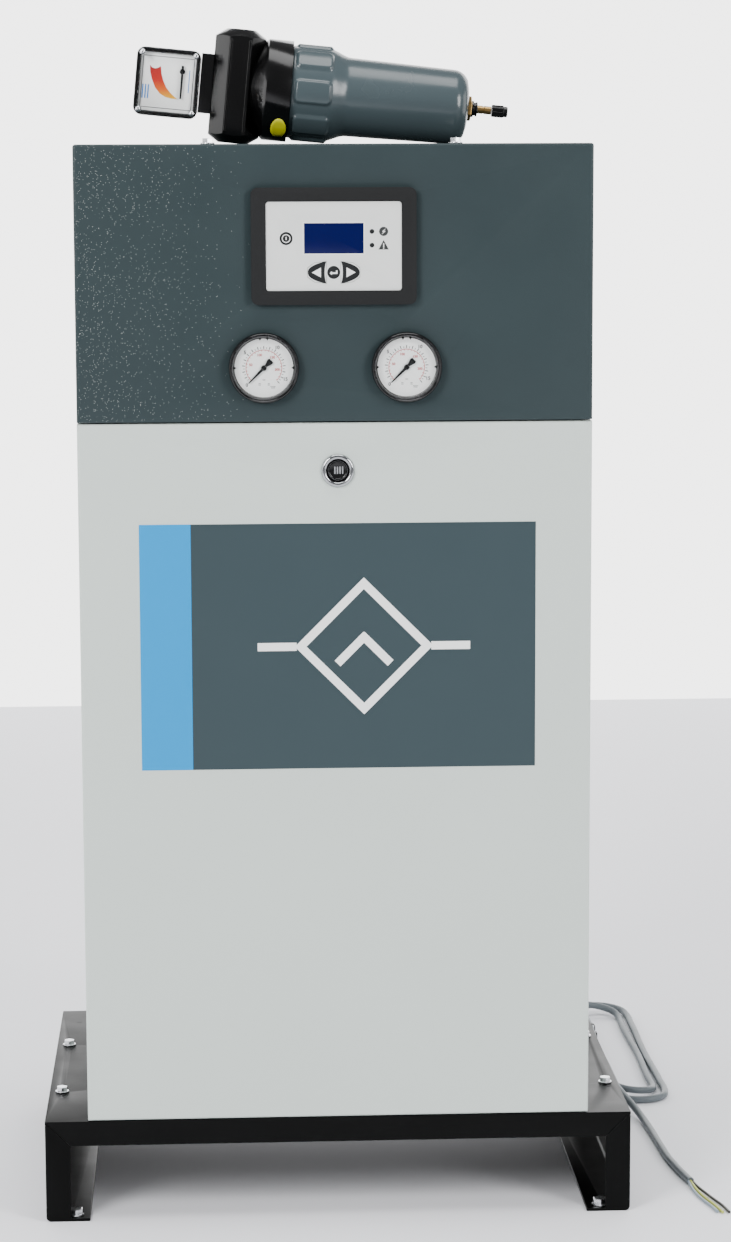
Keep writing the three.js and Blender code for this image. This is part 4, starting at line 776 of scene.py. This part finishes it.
KEY_TIP = 24.9
KEY_HORN = 10.3
KEY_HORN_X = 7.1
KEY_HORN_WIDTH = 2.4
KEY_HOLLOW_X = 8.7
KEY_ARCH = 2.5
KEY_STEPS = 16
KEY_TRIANGLE = [(12.3, -4.7), (21.0, 0), (12.3, 4.7)]
ENTER_ARROW = [(-3.9, -0.7), (-1.7, 1.2), (-1.7, 0.1), (2.2, 0.1), (2.2, 1.9), (3.6, 1.9), (3.6, -1.4), (-1.7, -1.4),
               (-1.7, -2.6)]
START_RING = arc_band(3.7, 0.75, 0, 359.9)
START_BAR = rectangle(0.95, 3.0, 0.4)
HALO_RADIUS = 6.8
HALO_WIDTH = 0.9
RING_END = 359.9


def crescent(sign):
    """An arrow key's print about the enter key's centre: an arched outer side, and an inner side that is hollow."""
    outer, inner = [], []
    horn = KEY_HORN_X + KEY_HORN_WIDTH
    for step in range(KEY_STEPS + 1):
        z = KEY_HORN * (1 - 2 * step / KEY_STEPS)
        share = 1 - abs(z / KEY_HORN) ** KEY_ARCH
        outer.append((sign * (horn + (KEY_TIP - horn) * share), z))
        inner.append((sign * (KEY_HORN_X + (KEY_HOLLOW_X - KEY_HORN_X) * share), z))
    return outer + inner[::-1]


def make_keys():
    for key in ("start_key", "enter_key"):
        rounded_copy(key, "key", 0.15, 2)
    start, enter = middle("start_key"), middle("enter_key")
    start.y = enter.y = KEY_Y
    printed("start_ring", [START_RING], "key_symbol", "start_key", start)
    printed("start_bar", [START_BAR], "key_symbol", "start_key", start)
    printed("enter_arrow", [ENTER_ARROW], "key_symbol", "enter_key", enter)
    film = Vector((enter.x, KEYPAD_Y, enter.z))
    aside = (start - enter) / MM
    halos = [arc_band(HALO_RADIUS, HALO_WIDTH, 0, RING_END, x, z) for x, z in ((0, 0), (aside.x, aside.z))]
    printed("key_halos", halos, "keypad_border", "cabinet", film)
    for side, sign in (("left", -1), ("right", 1)):
        rounded_copy(f"{side}_key", "keypad", 0.1, 2)
        printed(f"{side}_key_face", [crescent(sign)], "key", f"{side}_key", enter)
        triangle = [(sign * x, z) for x, z in KEY_TRIANGLE]
        printed(f"{side}_arrow", [triangle], "key_symbol", f"{side}_key", enter, 2)


# ---------------------------------------------------------------- pressure gauges
GAUGE_SPAN = 270
TOP_OF_SCALE = 16
PSI_PER_BAR = 14.504
PSI_TICKS = 24
PSI_STEP = 10
GAUGE_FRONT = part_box("left_gauge_case")[0].y
DIAL_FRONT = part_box("left_gauge_dial")[0].y
POINTER_FRONT, POINTER_BACK = (corner.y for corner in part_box("left_gauge_pointer"))
DIAL_RADIUS = 28.4
DIAL_THICKNESS = 0.8
LENS_RADIUS = 28.6
SCALE_RADIUS = 18.3
PSI_ARC_RADIUS = 17.3
PSI_TICK_RADIUS = 16.0
BAR_FIGURES = (0, 5, 10, 15)
BAR_FIGURE_HEIGHT = 4.6
BAR_FIGURE_RADIUS = 23.4
PSI_FIGURES = (50, 100, 150, 200)
PSI_FIGURE_HEIGHT = 3.3
PSI_FIGURE_RADIUS = 13.0
# Pairs of radius and distance behind the bezel's front.
GAUGE_SHELL = [
    (0, 49), (6, 49), (6, 35), (29.4, 35), (30, 34.4), (30, 8.7), (33.4, 8.7), (34, 8.1), (34, 2.6), (33.6, 1.2),
    (33.0, 0.35), (32.4, 0), (32.05, 0.45), (30.9, 2.0), (29.5, 7.8), (28.95, 9.5), (0, 9.5),
]
GAUGE_RING = [(32.0, 0.35), (30.9, 1.4), (29.15, 7.6), (28.75, 9.2), (28.95, 9.2), (29.35, 7.7), (31.1, 1.7),
              (32.0, 0.35)]
GAUGE_NOTCHES = [[(-5.1, 28.5), (-2.1, 28.5), (-3.6, 26.2)], [(2.1, 28.5), (5.1, 28.5), (3.6, 26.2)],
                 [(-28.6, 1.5), (-28.6, -1.5), (-26.4, 0)], [(28.6, 1.5), (28.6, -1.5), (26.4, 0)]]
# Small blocks low on the dial, where a gauge has its unit signs: width, height, x and z.
GAUGE_BLOCKS = [(2.2, 0.5, -4.2, -15.2), (2.2, 0.5, -4.2, -16.5), (2.2, 0.5, 4.6, -15.2), (2.2, 0.5, 4.6, -16.5),
                (2.8, 0.6, 0, -11.6), (5.2, 0.5, 8.6, -18.2), (3.6, 0.5, 8.6, -19.4)]
GAUGE_NEEDLE = [(-1.5, 0), (-0.5, 20.5), (0.5, 20.5), (1.5, 0), (1.2, -2.4), (3.2, -8.4), (2.4, -10.2), (-2.4, -10.2),
                (-3.2, -8.4), (-1.2, -2.4)]
GAUGE_HUB = [(0, -0.5), (1.2, -0.5), (2.3, -0.35), (2.75, 0), (2.75, 1.3), (0, 1.3)]


def dial_angle(bar_value):
    """Degrees clockwise from the top of the dial."""
    return GAUGE_SPAN * (bar_value / TOP_OF_SCALE - 0.5)


def tick(radius, length, width, angle):
    return bar(*at_angle(radius, angle), *at_angle(radius + length, angle), width)


def disc(radius, thickness):
    """The lathe profile of a plain disc."""
    return [(0, 0), (radius, 0), (radius, thickness), (0, thickness)]


def make_gauge(side):
    centre = middle(f"{side}_gauge_dial")
    front = Vector((centre.x, GAUGE_FRONT, centre.z))
    shell = lathe(f"{side}_gauge_shell", GAUGE_SHELL, "gloss_black", "cabinet", front, segments=96)
    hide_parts(f"{side}_gauge_case")
    lathe(f"{side}_gauge_ring", GAUGE_RING, "gauge_bezel", "cabinet", front, segments=96)
    place = Vector((centre.x, DIAL_FRONT, centre.z))
    face = lathe(f"{side}_gauge_face", disc(DIAL_RADIUS, DIAL_THICKNESS), "dial", "cabinet", place,
                 segments=96)
    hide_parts(f"{side}_gauge_dial")
    make_dial_print(side, place)
    make_gauge_pointer(side, centre)
    low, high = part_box(f"{side}_gauge_lens")
    place = Vector((centre.x, low.y, centre.z))
    lens = lathe(f"{side}_gauge_window", disc(LENS_RADIUS, (high.y - low.y) / MM), "clear", "cabinet", place,
                 segments=96)
    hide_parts(f"{side}_gauge_lens")


def make_dial_print(side, place):
    """A black scale in bar and inside it a red one in psi."""
    black = GAUGE_NOTCHES + [rectangle(width, height, 0, x, z) for width, height, x, z in GAUGE_BLOCKS]
    black += [tick(SCALE_RADIUS, 1.7, 0.5, dial_angle(step / 2)) for step in range(1, 2 * TOP_OF_SCALE, 2)]
    black += [tick(SCALE_RADIUS, 2.8, 0.8, dial_angle(step)) for step in range(TOP_OF_SCALE + 1)]
    printed(f"{side}_gauge_scale", black, "dial_black", "cabinet", place)
    red = [arc_band(PSI_ARC_RADIUS, 0.6, dial_angle(0), dial_angle(TOP_OF_SCALE))]
    red += [tick(PSI_TICK_RADIUS, 1.2, 0.5, dial_angle(step * PSI_STEP / PSI_PER_BAR)) for step in range(PSI_TICKS)]
    printed(f"{side}_gauge_inner_scale", red, "dial_red", "cabinet", place)
    figures = [(str(value), BAR_FIGURE_HEIGHT, *at_angle(BAR_FIGURE_RADIUS, dial_angle(value)))
               for value in BAR_FIGURES]
    numerals(f"{side}_gauge_figures", figures, "dial_black", "cabinet", place)
    figures = [(str(value), PSI_FIGURE_HEIGHT, *at_angle(PSI_FIGURE_RADIUS, dial_angle(value / PSI_PER_BAR)))
               for value in PSI_FIGURES]
    numerals(f"{side}_gauge_inner_figures", figures, "dial_red", "cabinet", place)


def make_gauge_pointer(side, centre):
    """A thin blade to the start of the scale, with a round hub and a tail that widens."""
    body = f"{side}_gauge_pointer"
    place = Vector((centre.x, POINTER_FRONT, centre.z))
    turn = Matrix.Rotation(math.radians(dial_angle(0)), 4, "Y")
    needle = prism(f"{side}_gauge_needle", [GAUGE_NEEDLE], "dial_black", body, place, 0,
                   (POINTER_BACK - POINTER_FRONT) / MM, turn)
    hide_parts(body)
    lathe(f"{side}_gauge_hub", GAUGE_HUB, "gloss_black", body, place, segments=48)


# ---------------------------------------------------------------- lock
LOCK = middle("lock_housing")
WAFERS = 4
WAFER_PITCH = 2.5
WAFER_SHIFT = 0.8
# Pairs of radius and distance behind the front panel's face.
LOCK_RING = [(7.3, 26), (7.3, 0.9), (9.6, 0.9), (9.9, 0.5), (10.8, -0.9), (11.6, -2.1), (12.4, -2.8), (13.4, -3.0),
             (14.4, -2.9), (15.5, -2.2), (16.1, -1.2), (16.3, -0.3), (16.3, -0.05), (11, -0.05), (11, 26), (7.3, 26)]
# A gloss black band over the chrome ring's inner slope: painted shade of the recess round the core.
LOCK_RECESS_SHADE = [(9.55, 0.85), (9.75, 0.4), (10.55, -0.9), (11.3, -2.0), (11.5, -2.05), (10.85, -0.9), (10.0, 0.5),
              (9.65, 0.95), (9.55, 0.85)]
LOCK_CORE = [(0, 0.1), (6.6, 0.1), (7.3, -0.1), (7.9, -0.9), (8.5, -1.1), (9.0, -0.7), (9.2, 0.1), (9.2, 0.6),
             (7, 0.6), (7, 28.9), (0, 28.9)]
TONGUE_HALF = 8
TONGUE_FRONT = 26.4
TONGUE_BACK = 28.9
CORE_FACE = 0.1


def make_lock():
    place = Vector((LOCK.x, FRONT_Y, LOCK.z))
    housing = lathe("lock_ring", LOCK_RING, "lock_chrome", "front_panel", place, segments=96)
    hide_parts("lock_housing")
    # Painted shade: a black band in the chrome ring's recess.
    lathe("lock_recess_shade", LOCK_RECESS_SHADE, "gloss_black", "front_panel", place, segments=96)
    core = lathe("lock_core_face", LOCK_CORE, "gloss_black", "lock_core", place, segments=72)
    high = (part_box("lock_core")[1].z - LOCK.z) / MM
    outline = box_outline(-TONGUE_HALF, -TONGUE_HALF, TONGUE_HALF, high)
    tongue = prism("lock_tongue", [outline], "zinc", "lock_core", place, TONGUE_FRONT, TONGUE_BACK, bevel=0.5)
    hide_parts("lock_core")
    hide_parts("lock_core")
    middle_wafer = (WAFERS - 1) / 2
    wafers = [rectangle(1.25, 7.2, 0.5, WAFER_SHIFT + WAFER_PITCH * (index - middle_wafer), 0.4)
              for index in range(WAFERS)]
    printed("lock_wafers", wafers, "zinc", "lock_core", place + Vector((0, CORE_FACE * MM, 0)), 3)


# ---------------------------------------------------------------- filter
GAP = 0.3
HEAD_HALF_LENGTH = 55.5
HEAD_END_RADIUS = 14.5
HEAD_HALF_WIDTH = 25
SKIRT_RADIUS = 49.5
BOWL_START = 52.3
BOWL_END = 228.3
BOWL_LENGTH = BOWL_END - BOWL_START
BOWL_NOSE = 16
BOWL_END_RADIUS = 36.5
BOWL_RADIUS = 38.5
BOWL_NECK = 15
BOWL_NECK_RADIUS = 40
BOWL_SEGMENTS = 240
GRIP_RADIUS = 47.5
GRIP_LENGTH = 36
GRIP_EDGE = 1.5
GRIP_EDGE_DEPTH = 1.2
TAPER_LENGTH = 22
FILTER_X = -91
FILTER_BEHIND_FRONT = 112
# The filter lies on the near end of its head and on the end of its bowl, which sets how far it tilts.
FILTER_TILT = math.atan2(HEAD_HALF_LENGTH - BOWL_END_RADIUS, BOWL_END - BOWL_NOSE - HEAD_END_RADIUS)
HEAD_CENTRE_HEIGHT = HEAD_END_RADIUS * math.sin(FILTER_TILT) + HEAD_HALF_LENGTH * math.cos(FILTER_TILT)
FILTER_PLACE = Vector((FILTER_X * MM, FRONT_Y + FILTER_BEHIND_FRONT * MM, HOOD_TOP + (HEAD_CENTRE_HEIGHT + GAP) * MM))
FILTER_TURN = Matrix.Rotation(FILTER_TILT, 4, "Y")
ALONG_FILTER = FILTER_TURN @ Matrix.Rotation(math.radians(-90), 4, "Z")
RIBS = 8
RIB_HEIGHT = 2.4
RIB_SHARE = 0.62
RIB_START = 4.0
RIB_END = 39.0
RIB_CORNER = 4.5
RIB_EDGE = 1.8


def smooth(value):
    value = min(1.0, max(0.0, value))
    return value * value * (3 - 2 * value)


def bowl_line(x):
    """The bowl's radius without its ribs, in millimetres, a distance x from its skirt end."""
    grip = GRIP_RADIUS - RIB_HEIGHT
    taper_end = GRIP_LENGTH + TAPER_LENGTH
    nose = BOWL_LENGTH - BOWL_NOSE
    if x < GRIP_EDGE:
        return grip - GRIP_EDGE_DEPTH * (1 - math.sqrt(max(0.0, 1 - (1 - x / GRIP_EDGE) ** 2)))
    if x < GRIP_LENGTH:
        return grip
    if x < taper_end:
        return grip - smooth((x - GRIP_LENGTH) / TAPER_LENGTH) * (grip - BOWL_RADIUS)
    if x < nose:
        return BOWL_RADIUS - (x - taper_end) / (nose - taper_end) * (BOWL_RADIUS - BOWL_END_RADIUS)
    return BOWL_END_RADIUS - BOWL_NOSE + math.sqrt(max(0.0, BOWL_NOSE ** 2 - (x - nose) ** 2))


def rib_height(x, angle):
    """Raised pads with round corners, evenly spaced round the grip."""
    pitch = FULL_TURN / RIBS
    around = ((angle / pitch + 0.5) % 1.0 - 0.5) * pitch * GRIP_RADIUS
    half_around = pitch * GRIP_RADIUS * RIB_SHARE / 2
    half_along = (RIB_END - RIB_START) / 2
    away_x = abs(x - (RIB_START + RIB_END) / 2) - half_along + RIB_CORNER
    away_a = abs(around) - half_around + RIB_CORNER
    outside = math.hypot(max(away_x, 0), max(away_a, 0)) + min(max(away_x, away_a), 0) - RIB_CORNER
    return RIB_HEIGHT * smooth(0.5 - outside / (2 * RIB_EDGE))


def bowl_stations():
    """Distances from the skirt end: close together over the grip, wide on the barrel, even round the nose."""
    stations = [0.05, 0.3, 0.8, 1.5, 2.2] + [3 + 0.75 * i for i in range(54)]
    stations += [45 + 2.0 * i for i in range(8)] + [64 + 12 * i for i in range(8)]
    stations += [BOWL_LENGTH - BOWL_NOSE * math.cos(math.radians(90 * i / 14)) for i in range(15)]
    return sorted(set(round(x, 4) for x in stations if x <= BOWL_LENGTH))


def make_bowl():
    shape = bmesh.new()
    turns = [FULL_TURN * i / BOWL_SEGMENTS for i in range(BOWL_SEGMENTS)]
    rings = [ring(shape, [BOWL_NECK_RADIUS] * BOWL_SEGMENTS, BOWL_START - BOWL_NECK)]
    for x in bowl_stations():
        rings.append(ring(shape, [bowl_line(x) + rib_height(x, turn) for turn in turns], BOWL_START + x))
    tube(shape, rings)
    bowl = link("filter_bowl_shell", shape, "bowl", "filter", FILTER_PLACE, ALONG_FILTER, True)
    sharpen(bowl, 50)
    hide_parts("filter_bowl")


# Pairs of radius and distance from the bowl's end.
DRAIN_START = BOWL_END + GAP
HEX_CORNER = 21 / math.sqrt(3)
DRAIN_HEX = [(0, 0), (HEX_CORNER - 0.8, 0), (HEX_CORNER, 0.8), (HEX_CORNER, 3.2), (HEX_CORNER - 0.8, 4), (0, 4)]
DRAIN_COLLAR = [(0, 3.5), (7.4, 3.5), (8.0, 4.2), (8.0, 6.0), (6.4, 6.6), (6.4, 8.2), (7.2, 8.6), (7.2, 9.4),
                (6.6, 10), (0, 10)]
DRAIN_STEM = [(0, 9.5), (3.6, 9.5), (4, 10), (4, 15.5), (3.6, 15.8), (3.6, 16.6), (4, 17), (4, 23.6), (3.6, 24),
              (0, 24)]
DRAIN_CAP = [(5.3, 24.3), (6.0, 25.1), (6.0, 35.8), (5.2, 36.6), (5.2, 39.7), (4.6, 40.3)]
KNURLED_RADIUS = 5.9
KNURLS = 28
KNURL_DEPTH = 0.35


def make_drain():
    parts = [("drain_hex", DRAIN_HEX, "brass", "brass", 6),
             ("drain_collar", DRAIN_COLLAR, "gloss_black", "black_plastic", 48),
             ("drain_stem", DRAIN_STEM, "brass", "brass", 48)]
    for name, profile, material, slot, segments in parts:
        moved = [(radius, DRAIN_START + along) for radius, along in profile]
        piece = lathe(name, moved, material, "filter", FILTER_PLACE, ALONG_FILTER, segments)
        if name == "drain_hex":
            shade_smooth(piece, False)
            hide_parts("drain_valve")
    make_drain_cap()


def make_drain_cap():
    """A knurled cap: fine ribs along its thick part, and a step at its outer end."""
    shape = bmesh.new()
    rings = []
    for radius, along in DRAIN_CAP:
        depth = KNURL_DEPTH if radius > KNURLED_RADIUS else 0.0
        knurl = [radius, radius - depth, radius - depth, radius]
        rings.append(ring(shape, knurl * KNURLS, DRAIN_START + along))
    tube(shape, rings)
    cap = link("drain_cap", shape, "gloss_black", "drain_knob", FILTER_PLACE, ALONG_FILTER)
    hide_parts("drain_knob")


STICKER_X = 43.0
STICKER_ANGLE = math.radians(-50)
STICKER_HALF_WIDTH = 7.6
STICKER_HALF_HEIGHT = 13.5
STICKER_LIFT = 0.15
STICKER_THICKNESS = 0.12
STICKER_POINTS = 48


def make_sticker():
    """A plain oval sticker wrapped on the skirt, low on its front."""
    shape = bmesh.new()
    radius = SKIRT_RADIUS + STICKER_LIFT
    rings = []
    for share in (0.0, 0.35, 0.7, 1.0):
        points = []
        for i in range(STICKER_POINTS if share else 1):
            turn = FULL_TURN * i / STICKER_POINTS
            x = STICKER_X + STICKER_HALF_WIDTH * share * math.cos(turn)
            angle = STICKER_ANGLE + STICKER_HALF_HEIGHT * share * math.sin(turn) / radius
            points.append(shape.verts.new(Vector((x, -radius * math.cos(angle), radius * math.sin(angle))) * MM))
        rings.append(points)
    skin(shape, rings)
    piece = link("filter_sticker", shape, "sticker", "filter", FILTER_PLACE, FILTER_TURN, True)
    thick = piece.modifiers.new("thickness", "SOLIDIFY")
    thick.thickness = STICKER_THICKNESS * MM
    thick.offset = 0


HEAD_RIB_X = 9.2
HEAD_RIB_WIDTH = 2.6
HEAD_RIB_LENGTH = 90
HEAD_RIB_HEIGHT = 1.0
HEAD_RIB_ROOT = 2


def make_head_ribs():
    """Two upright ribs down the front face of the head's column."""
    front = -HEAD_HALF_WIDTH
    for index, x in enumerate((-HEAD_RIB_X, HEAD_RIB_X)):
        rib = rectangle(HEAD_RIB_WIDTH, HEAD_RIB_LENGTH, 0, x, 0)
        prism(f"head_rib_{index + 1}", [rib], "casting", "filter", FILTER_PLACE, front - HEAD_RIB_HEIGHT,
              front + HEAD_RIB_ROOT, FILTER_TURN, 0.6)


# ---------------------------------------------------------------- pressure-drop indicator
INDICATOR_WIDTH = 63
INDICATOR_ARM = 12
INDICATOR_AT = (-HEAD_HALF_WIDTH - INDICATOR_ARM - INDICATOR_WIDTH / 2 - GAP, -13, -3)
DIAL_CARD_Y = 4.9
CARD_HALF = 25
CARD_LINE = 0.6
NEEDLE_PIVOT = (14, 2, 12)
NEEDLE_THICKNESS = 0.8
NEEDLE_BLADE = [(-1.2, 0), (1.2, 0), (0.9, -26.5), (-0.9, -26.5)]
NEEDLE_TAIL = [(-1.2, 0), (-1.2, 5.8), (1.2, 5.8), (1.2, 0)]
NEEDLE_HUB = [(0, -0.7), (1.4, -0.6), (2.6, -0.2), (2.8, 0.2), (2.8, 1.2), (0, 1.2)]
WEDGE = [(-18.3, 15.9), (-15.9, 13.6), (-12.8, 12.9), (-10.0, 13.8), (-7.5, 15.7), (-6.2, 8.0), (-4.0, 1.7),
         (-0.6, -4.6), (3.5, -9.2), (7.4, -12.4), (11.2, -14.9), (5.0, -14.9), (-1.0, -13.8), (-6.6, -11.0),
         (-11.6, -5.4), (-15.4, 2.4), (-17.6, 9.4)]
SCREW_X = 26.3
SCREW_Z = 27.8
SCREW_Y = -5.3
SCREW_TURN = 35
SCREW_DOME = [(0, -1.9), (1.0, -1.8), (2.0, -1.4), (2.7, -0.7), (3.0, 0.1), (3.0, 0.4), (1.6, 0.4), (1.6, 8), (0, 8)]


def on_filter(*at):
    """A place in the scene from millimetres in the filter's own tilted frame."""
    return FILTER_PLACE + FILTER_TURN @ (Vector(at) * MM)


def on_indicator(*at):
    return on_filter(*(Vector(INDICATOR_AT) + Vector(at)))


def make_indicator():
    dial = on_indicator(0, DIAL_CARD_Y, 0)
    rounded_copy("indicator_dial", "dial", 0.15, 1)
    bars = [rectangle(1.3, 13.5, 0, x, -9.8) for x in (-23.6, -20.9, -18.2)] + [rectangle(0.8, 22, 0, 21.2, 3.0)]
    edge = [rectangle(2 * CARD_HALF, CARD_LINE, 0, 0, side * CARD_HALF) for side in (-1, 1)]
    edge += [rectangle(CARD_LINE, 2 * CARD_HALF - 1, 0, side * CARD_HALF, 0) for side in (-1, 1)]
    for name, outlines, material, layer in (
            ("indicator_wedge", [WEDGE], "wedge", 1),
            ("indicator_bars", bars, "dial_blue", 1),
            ("indicator_card_edge", edge, "key_grey", 2)):
        printed(name, outlines, material, "filter", dial, layer, FILTER_TURN)
    make_indicator_needle()
    make_indicator_cover()


def make_indicator_needle():
    place = on_indicator(*NEEDLE_PIVOT)
    needle = prism("indicator_needle", [NEEDLE_BLADE, NEEDLE_TAIL], "dial_black", "indicator_pointer",
                   place, 0, NEEDLE_THICKNESS, FILTER_TURN)
    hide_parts("indicator_pointer")
    lathe("indicator_hub", NEEDLE_HUB, "gloss_black", "indicator_pointer", place, FILTER_TURN, 48)


def make_indicator_cover():
    """The clear cover and its four screws, whose slots are painted shade."""
    rounded_copy("indicator_cover", "clear", 0.6, 3)
    for index, (x, z) in enumerate(((-1, -1), (1, -1), (-1, 1), (1, 1))):
        place = on_indicator(x * SCREW_X, SCREW_Y, z * SCREW_Z)
        lathe(f"indicator_screw_{index + 1}", SCREW_DOME, "zinc", "filter", place, FILTER_TURN, 32)
        turn = FILTER_TURN @ Matrix.Rotation(math.radians(SCREW_TURN * (index + 1)), 4, "Y")
        # Each slot is a thin black bar on the screw's dome: painted shade where the groove would be.
        prism(f"indicator_screw_slot_shade_{index + 1}", [rectangle(3.2, 0.5)], "dial_black", "filter", place,
              -1.95, -1.5, turn)


# ---------------------------------------------------------------- feet and deck
FOOT_BOLT_X = 264
FOOT_BOLT_FROM_END = 12.5
FOOT_TOP = 3
# Pairs of radius and height above the foot.
WASHER = [(0, 0.05), (7.6, 0.05), (8, 0.4), (8, 1.3), (7.6, 1.6), (0, 1.6)]
FOOT_BOLT = [(0, 1.5), (6.9, 1.5), (7.5, 2.0), (7.5, 6.2), (6.6, 7.0), (0, 7.0)]
DECK_HOLE = (-273, 165)


def make_foot_bolts():
    """Bolts with wide washers through the foot flanges, one near each end, and a thin black disc on the deck, painted
    shade where a small hole is.
    """
    front, back = (corner.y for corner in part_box("left_skid"))
    inward = FOOT_BOLT_FROM_END * MM
    for side, sign in (("left", -1), ("right", 1)):
        for end, y in (("front", front + inward), ("back", back - inward)):
            place = Vector((sign * FOOT_BOLT_X * MM, y, FOOT_TOP * MM))
            lathe(f"foot_{side}_{end}_washer", WASHER, "zinc", "cabinet", place, UPRIGHT, 48)
            bolt = lathe(f"foot_{side}_{end}_bolt", FOOT_BOLT, "zinc", "cabinet", place, UPRIGHT, 6)
            shade_smooth(bolt, False)
    # The black disc is painted shade of a small hole in the deck, not a real opening.
    hole = Vector((DECK_HOLE[0] * MM, DECK_HOLE[1] * MM, DECK_TOP))
    lathe("deck_hole_shade", disc(3.2, 0.1), "dial_black", "cabinet", hole, UPRIGHT, 32)


# ---------------------------------------------------------------- stage and light
FLOOR_HALF = 8.0
WALL_Y = 2.9
WALL_WIDTH = 7.0
WALL_HEIGHT = 3.4
WALL_WATTS = 250
ROOM_COLOR = (0.96, 0.97, 1.0, 1)
ROOM_STRENGTH = 0.32
WALL_COLOR = (1.0, 0.995, 0.99, 1)
WALL_STRENGTH = 4.2
# Each lamp: its place, the point that it faces, its width, its height and its power in watts.
LAMPS = {
    "softbox_left": ((-2.2, -2.7, 2.3), (0, 0, 0.7), 1.2, 1.8, 122),
    "softbox_right": ((2.5, -2.5, 1.9), (0, 0, 0.6), 1.0, 1.8, 88),
    "softbox_top": ((0, -0.5, 3.4), (0, 0, 0.6), 2.2, 1.4, 60),
    "side_left": ((-2.9, -0.1, 1.2), (0, 0, 1.1), 1.6, 1.9, 30),
    "side_right": ((2.9, 0.1, 1.2), (0, 0, 1.1), 1.6, 1.9, 26),
    "white_wall": ((0, WALL_Y, WALL_HEIGHT / 2), (0, 0, WALL_HEIGHT / 2), WALL_WIDTH, WALL_HEIGHT, WALL_WATTS),
}


def make_floor():
    """A pale floor that ends where the white wall stands."""
    half, back = FLOOR_HALF, WALL_Y
    mesh = bpy.data.meshes.new("stage_floor")
    mesh.from_pydata([(-half, -half, 0), (half, -half, 0), (half, back, 0), (-half, back, 0)], [], [(0, 1, 2, 3)])
    mesh.materials.append(MATERIALS["floor"])
    floor = show("stage_floor", mesh)


def make_lights():
    """Two softboxes in front, one above, one at each side, and a glowing wall behind."""
    for name, (place, target, width, height, watts) in LAMPS.items():
        data = bpy.data.lights.new(name, "AREA")
        data.shape = "RECTANGLE"
        data.size = width
        data.size_y = height
        data.energy = watts
        lamp = show(name, data)
        lamp.location = place
        lamp.rotation_euler = (Vector(target) - Vector(place)).to_track_quat("-Z", "Y").to_euler()


def make_world():
    """A white studio wall where the camera sees it, and a dim grey room for everything else."""
    world = bpy.data.worlds.new("world")
    bpy.context.scene.world = world
    world.use_nodes = True
    tree = world.node_tree
    room = tree.nodes["Background"]
    room.inputs["Color"].default_value = ROOM_COLOR
    room.inputs["Strength"].default_value = ROOM_STRENGTH
    wall = add(tree, "ShaderNodeBackground", Color=WALL_COLOR, Strength=WALL_STRENGTH)
    path = tree.nodes.new("ShaderNodeLightPath")
    join_shaders(tree, path.outputs["Is Camera Ray"], room, wall, "World Output")


# ---------------------------------------------------------------- build
make_camera()
make_cords()
dress_cad_pieces()
make_covers()
make_nameplate()
make_controller()
make_gauge("left")
make_gauge("right")
make_lock()
make_bowl()
make_drain()
make_sticker()
make_head_ribs()
make_indicator()
make_foot_bolts()
make_floor()
make_lights()
make_world()


def corners(box):
    return [list(corner) for corner in box]
